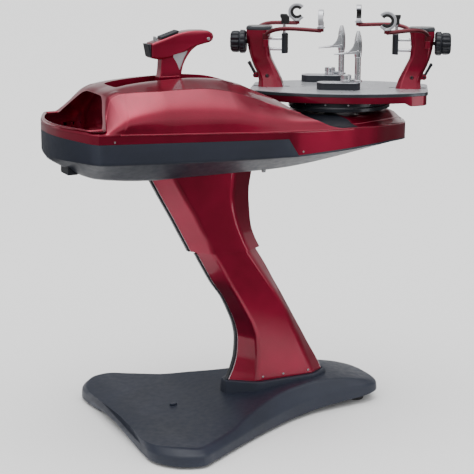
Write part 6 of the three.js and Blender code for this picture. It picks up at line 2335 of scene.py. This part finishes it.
    def pad(self, shop: Workshop) -> None:
        """Builds the hold-down pad on its post.

        Args:
            shop: The workshop.
        """
        bottom, height, width, half, lip = 1077.0, 26.0, 25.0, 11.0, 8.0
        x0, x1, top = self.pad_x - width * 0.55, self.pad_x + width * 0.45, bottom + height
        outline = rounded([(x0, bottom), (x1 - 3, bottom), (x1 - 3, bottom + height * 0.55),
                           (x1, bottom + height * 0.75), (x1, top), (x0 + lip, top), (x0, top - lip)], 2.2, 3,
                          closed=True)
        bore = drum(4.6, bottom - 5, top + 5, 0.1, 28).at(self.pad_x, 0, 0)
        self.fit(shop, cut(side_plate(outline, half, 1.4), bore), "pad_block", "pad", Finish.RUBBER,
                 "hold_down_pad")

    def arm(self, shop: Workshop, kind: str, side: int) -> None:
        """Builds one arm from its hub to its eye.

        Args:
            shop: The workshop.
            kind: long or short.
            side: 1 where the arm is on the far side of the tower's own frame, -1 on the near side.
        """
        hub_x, end_x, end_y = self.long_arm if kind == "long" else self.short_arm
        start, end = Vector((hub_x, side * self.arm_reach)), Vector((end_x, side * end_y))
        way = end - start
        out = Vector((-way.y, way.x)) * -side
        path = [(start.x + way.x * share + out.x * bow, start.y + way.y * share + out.y * bow,
                 self.path_z + climb * self.arm_rise) for share, bow, climb in self.route]
        tube = swept(smooth_path(path, 12), ellipse(self.arm_radius, self.arm_radius, 24))
        hub_top = self.hub_bottom + self.hub_height
        hub = drum(self.hub_radius, self.hub_bottom, hub_top, 1.4, 40).at(start.x, start.y, 0)
        radius, bottom, height = self.eye
        stub_radius, stub_height = self.stub
        eye = drum(radius, bottom, bottom + height, 1.2, 36).at(end.x, end.y, 0)
        stub = drum(stub_radius, bottom, bottom + height + stub_height, 0.4, 24).at(end.x, end.y, 0)
        bore = drum(4.6, self.hub_bottom - 5, hub_top + 5, 0.1, 28).at(start.x, start.y, 0)
        whole = cut(joined(tube, hub, eye, stub), bore)
        self.fit(shop, whole, f"{kind}_arm_tube", f"{kind}_holder", Finish.RED_METAL, f"{kind}_arm")
        self.hook(shop, kind, Matrix.Translation((end.x, end.y, 0)), bottom + height + SEAT_GAP)

    def hook(self, shop: Workshop, kind: str, place: Matrix, bottom: float) -> None:
        """Builds one hook: its pale shell, dark liner and footing.

        Args:
            shop: The workshop.
            kind: long or short.
            place: The move from the hook's own frame to the tower's.
            bottom: Height of its foot.
        """
        outer, inner, half, mouth, liner = 25.0, 10.5, 7.0, radians(40), 18.0
        if kind == "long":
            place = place @ Matrix.Rotation(pi / 2, 4, "Z")
        centre = bottom + outer
        shell = self.band(liner + 0.1, outer, half, mouth, centre)
        soft = self.band(inner, liner, half - 0.3, mouth - 0.03, centre)
        foot = block(-6, 6, -6, 6, bottom, centre - (outer + liner) / 2, 1.0)
        saddle = drum(11, bottom, bottom + 3.5, 1.2, 40)
        bore = drum(3.6, bottom - 5, centre - inner + 0.6, 0.1, 24)
        whole = cut(joined(shell, foot, saddle), bore)
        self.fit(shop, whole.turned(place), f"{kind}_hook_shell", f"{kind}_grip", Finish.SILVER,
                 f"{kind}_hook")
        self.fit(shop, cut(soft, bore).turned(place), f"{kind}_hook_liner", f"{kind}_grip", Finish.RUBBER)

    @staticmethod
    def band(low: float, high: float, half: float, mouth: float, centre: float) -> Solid:
        """A C-shaped band that opens to the left.

        Args:
            low: Its inner radius.
            high: Its outer radius.
            half: Half its width.
            mouth: Half the angle of its opening.
            centre: Height of its middle.

        Returns:
            The solid.
        """
        section = rounded([(low, -half), (high, -half), (high, half), (low, half)], 1.5, 3, closed=True)
        rings = []
        for angle in np.linspace(mouth - pi, pi - mouth, 56):
            rings.append([(float(r) * cos(angle), float(y), centre + float(r) * sin(angle))
                          for r, y in section])
        return skin(rings)

    def build(self, shop: Workshop) -> None:
        """Builds and dresses the whole tower.

        Args:
            shop: The workshop.
        """
        self.body(shop)
        self.knob(shop)
        self.latch(shop)
        self.support(shop)
        self.pad(shop)
        self.arm(shop, "long", 1)
        self.arm(shop, "short", -1)


@dataclass
class Insides:
    """CAD nodes that keep their own shape and take a finish here."""

    finishes: dict[str, Finish] = field(default_factory=lambda: {
        "base_frame": Finish.DARK_METAL, "outer_mast": Finish.STEEL, "inner_mast": Finish.STEEL,
        "chassis": Finish.STEEL, "rail_bed": Finish.STEEL, "lead_screw": Finish.CHROME,
        "drive_motor": Finish.DARK_METAL, "power_supply": Finish.STEEL, "circuit_board": Finish.CIRCUIT,
        "turntable_bearing": Finish.STEEL, "tension_carriage": Finish.DARK_METAL,
    })

    def build(self, frame: dict, paints: dict[Finish, bpy.types.Material]) -> None:
        """Dresses the nodes.

        Args:
            frame: The loaded frame.
            paints: The materials.
        """
        for name, finish in self.finishes.items():
            node = frame["nodes"][name]
            for slot in node.material_slots:
                slot.material = paints[finish]
            soft = node.modifiers.new("edges", "BEVEL")
            soft.width, soft.segments, soft.limit_method = 0.6 * MM, 2, "ANGLE"
            LOG.info("%s keeps its shape in %s", name, finish.value)


@dataclass
class Studio:
    """Floor, light and camera."""

    camera_place: Point3 = (-1.670, -3.425, 1.417)
    heading: float = radians(25.546)
    pitch: float = radians(13.521)
    lens: float = 107.24
    sensor: float = 36.0
    floor_size: float = 60.0
    front_sky: tuple[Point2, ...] = (
        (0.0, 0.3), (0.47, 0.3), (0.5, 0.6), (0.58, 1.25), (0.8, 1.3), (0.88, 1.7), (0.94, 3.0), (1.0, 5.0))
    back_sky: tuple[Point2, ...] = (
        (0.0, 0.3), (0.5, 0.6), (0.58, 0.9), (0.63, 0.85), (0.71, 0.16), (0.84, 0.3), (0.93, 2.4), (1.0, 5.0))
    front_axis: Point3 = (-0.35, -0.94, 0.0)
    front_fade: Point2 = (-0.35, 0.25)
    floor_pale: float = 0.9
    floor_dim: float = 0.05
    floor_half: float = 0.16
    floor_axis: Point3 = (0.819, -0.574, 0.0)
    floor_fade: Point2 = (0.64, 0.95)
    near_axis: Point3 = (-0.431, -0.902, 0.0)
    near_fade: Point2 = (0.56, 0.85)
    left_axis: Point3 = (-0.961, 0.276, 0.0)
    left_fade: Point2 = (0.72, 1.1)

    def build(self) -> None:
        """Sets up the whole studio."""
        self.camera()
        self.floor()
        self.world()
        self.lights()

    def camera(self) -> None:
        """Puts the camera where the photograph was taken from."""
        data = bpy.data.cameras.new("camera")
        data.lens, data.sensor_width = self.lens, self.sensor
        data.clip_end = 200
        holder = bpy.data.objects.new("camera", data)
        bpy.context.scene.collection.objects.link(holder)
        holder.location = self.camera_place
        level = cos(self.pitch)
        look = Vector((sin(self.heading) * level, cos(self.heading) * level, -sin(self.pitch)))
        holder.rotation_euler = look.to_track_quat("-Z", "Y").to_euler()
        bpy.context.scene.camera = holder

    def floor(self) -> None:
        """Lays the pale floor, with painted shade further out toward the camera, the left and the right."""
        half = self.floor_size / 2
        mesh = bpy.data.meshes.new("floor")
        corners = [(-half, -half, 0), (half, -half, 0), (half, half, 0), (-half, half, 0)]
        mesh.from_pydata(corners, [], [(0, 1, 2, 3)])
        holder = bpy.data.objects.new("floor", mesh)
        bpy.context.scene.collection.objects.link(holder)
        recipe = Recipe("studio_floor")
        recipe.set(roughness=0.75, specular_ior_level=0.1)
        # Painted shade: away from the machine the floor darkens toward the camera, the left and the right, so
        # shiny parts mirror it dark.
        shares = []
        for axis, fade in ((self.near_axis, self.near_fade), (self.left_axis, self.left_fade),
                           (self.floor_axis, self.floor_fade)):
            toward = recipe.add("VectorMath", {0: recipe.place, 1: axis}, "Value", operation="DOT_PRODUCT")
            shares.append(recipe.spread(toward, 0.0, 1.0, *fade))
        near, left, right = shares
        ground = recipe.tint(near, (self.floor_pale,) * 3, (self.floor_half,) * 3)
        ground = recipe.mixed(left, ground, (self.floor_half,) * 3, 1.0)
        recipe.drive("Base Color", recipe.mixed(right, ground, (self.floor_dim,) * 3, 1.0))
        mesh.materials.append(recipe.material)

    def world(self) -> None:
        """Fills the surroundings with a soft light that is dimmer near the horizon."""
        world = bpy.data.worlds.new("studio")
        bpy.context.scene.world = world
        world.use_nodes = True
        tree = world.node_tree
        tree.nodes.clear()
        place = wired(tree, "TexCoord", {}).outputs["Generated"]
        height = wired(tree, "SeparateXYZ", {"Vector": place}).outputs["Z"]
        share = wired(tree, "MapRange", {"Value": height, "From Min": -1}).outputs["Result"]
        toward = wired(tree, "VectorMath", {0: place, 1: self.front_axis}, operation="DOT_PRODUCT")
        start, end = self.front_fade
        side = wired(tree, "MapRange", {"Value": toward.outputs["Value"], "From Min": start, "From Max": end},
                     interpolation_type="SMOOTHSTEP")
        skies = {}
        for steps, name in ((self.back_sky, "A"), (self.front_sky, "B")):
            ramp = wired(tree, "ValToRGB", {"Fac": share})
            skies[name] = ramp.outputs["Color"]
            points = ramp.color_ramp.elements
            while len(points) < len(steps):
                points.new(0.5)
            for point, (at, bright) in zip(points, steps):
                point.position, point.color = at, (bright, bright, bright, 1)
        mix = wired(tree, "Mix", {"Factor": side.outputs["Result"], **skies}, data_type="RGBA")
        background = wired(tree, "Background", {"Color": mix.outputs["Result"]})
        wired(tree, "OutputWorld", {"Surface": background.outputs["Background"]})

    def lights(self) -> None:
        """Hangs the soft lights."""
        for name, place, target, size, height, power in (
                ("key", (-3.2, -2.8, 2.0), (0, 0, 0.6), 2.0, 1.4, 8),
                ("right", (1.75, -2.4, 0.32), (0.2, 0, 0.7), 1.0, 0.5, 5)):
            data = bpy.data.lights.new(name, "AREA")
            data.shape, data.size, data.size_y, data.energy = "RECTANGLE", size, height, power
            holder = bpy.data.objects.new(name, data)
            bpy.context.scene.collection.objects.link(holder)
            holder.location = place
            holder.rotation_euler = (Vector(target) - Vector(place)).to_track_quat("-Z", "Y").to_euler()


def main() -> None:
    """Builds the machine on its frame."""
    logging.basicConfig(level=logging.INFO, format="%(name)s: %(message)s")
    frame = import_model()
    low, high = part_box("turntable_bearing")
    paints = {finish: recipe.build(finish.value) for finish, recipe in RECIPES.items()}
    shop = Workshop(paints, shift=(low[0] + high[0]) / 2 / MM - TABLE_X)
    Studio().build()
    columns, console, inlet = Columns(), Console(), Inlet()
    Stand().build(shop, columns.lower)
    columns.build(shop)
    Hull().build(shop, console, inlet)
    console.build(shop)
    inlet.build(shop)
    TensionHead().build(shop)
    clamps = [Clamp("near", 0, -54, 52), Clamp("far", -54, 115, 0)]
    Turntable().build(shop, clamps)
    for clamp in clamps:
        clamp.build(shop)
    for tower in (Tower("right", 0), Tower("left", pi)):
        tower.build(shop)
    Insides().build(frame, paints)
    LOG.info("%d pieces made", shop.count)


if __name__ == "__main__":
    main()
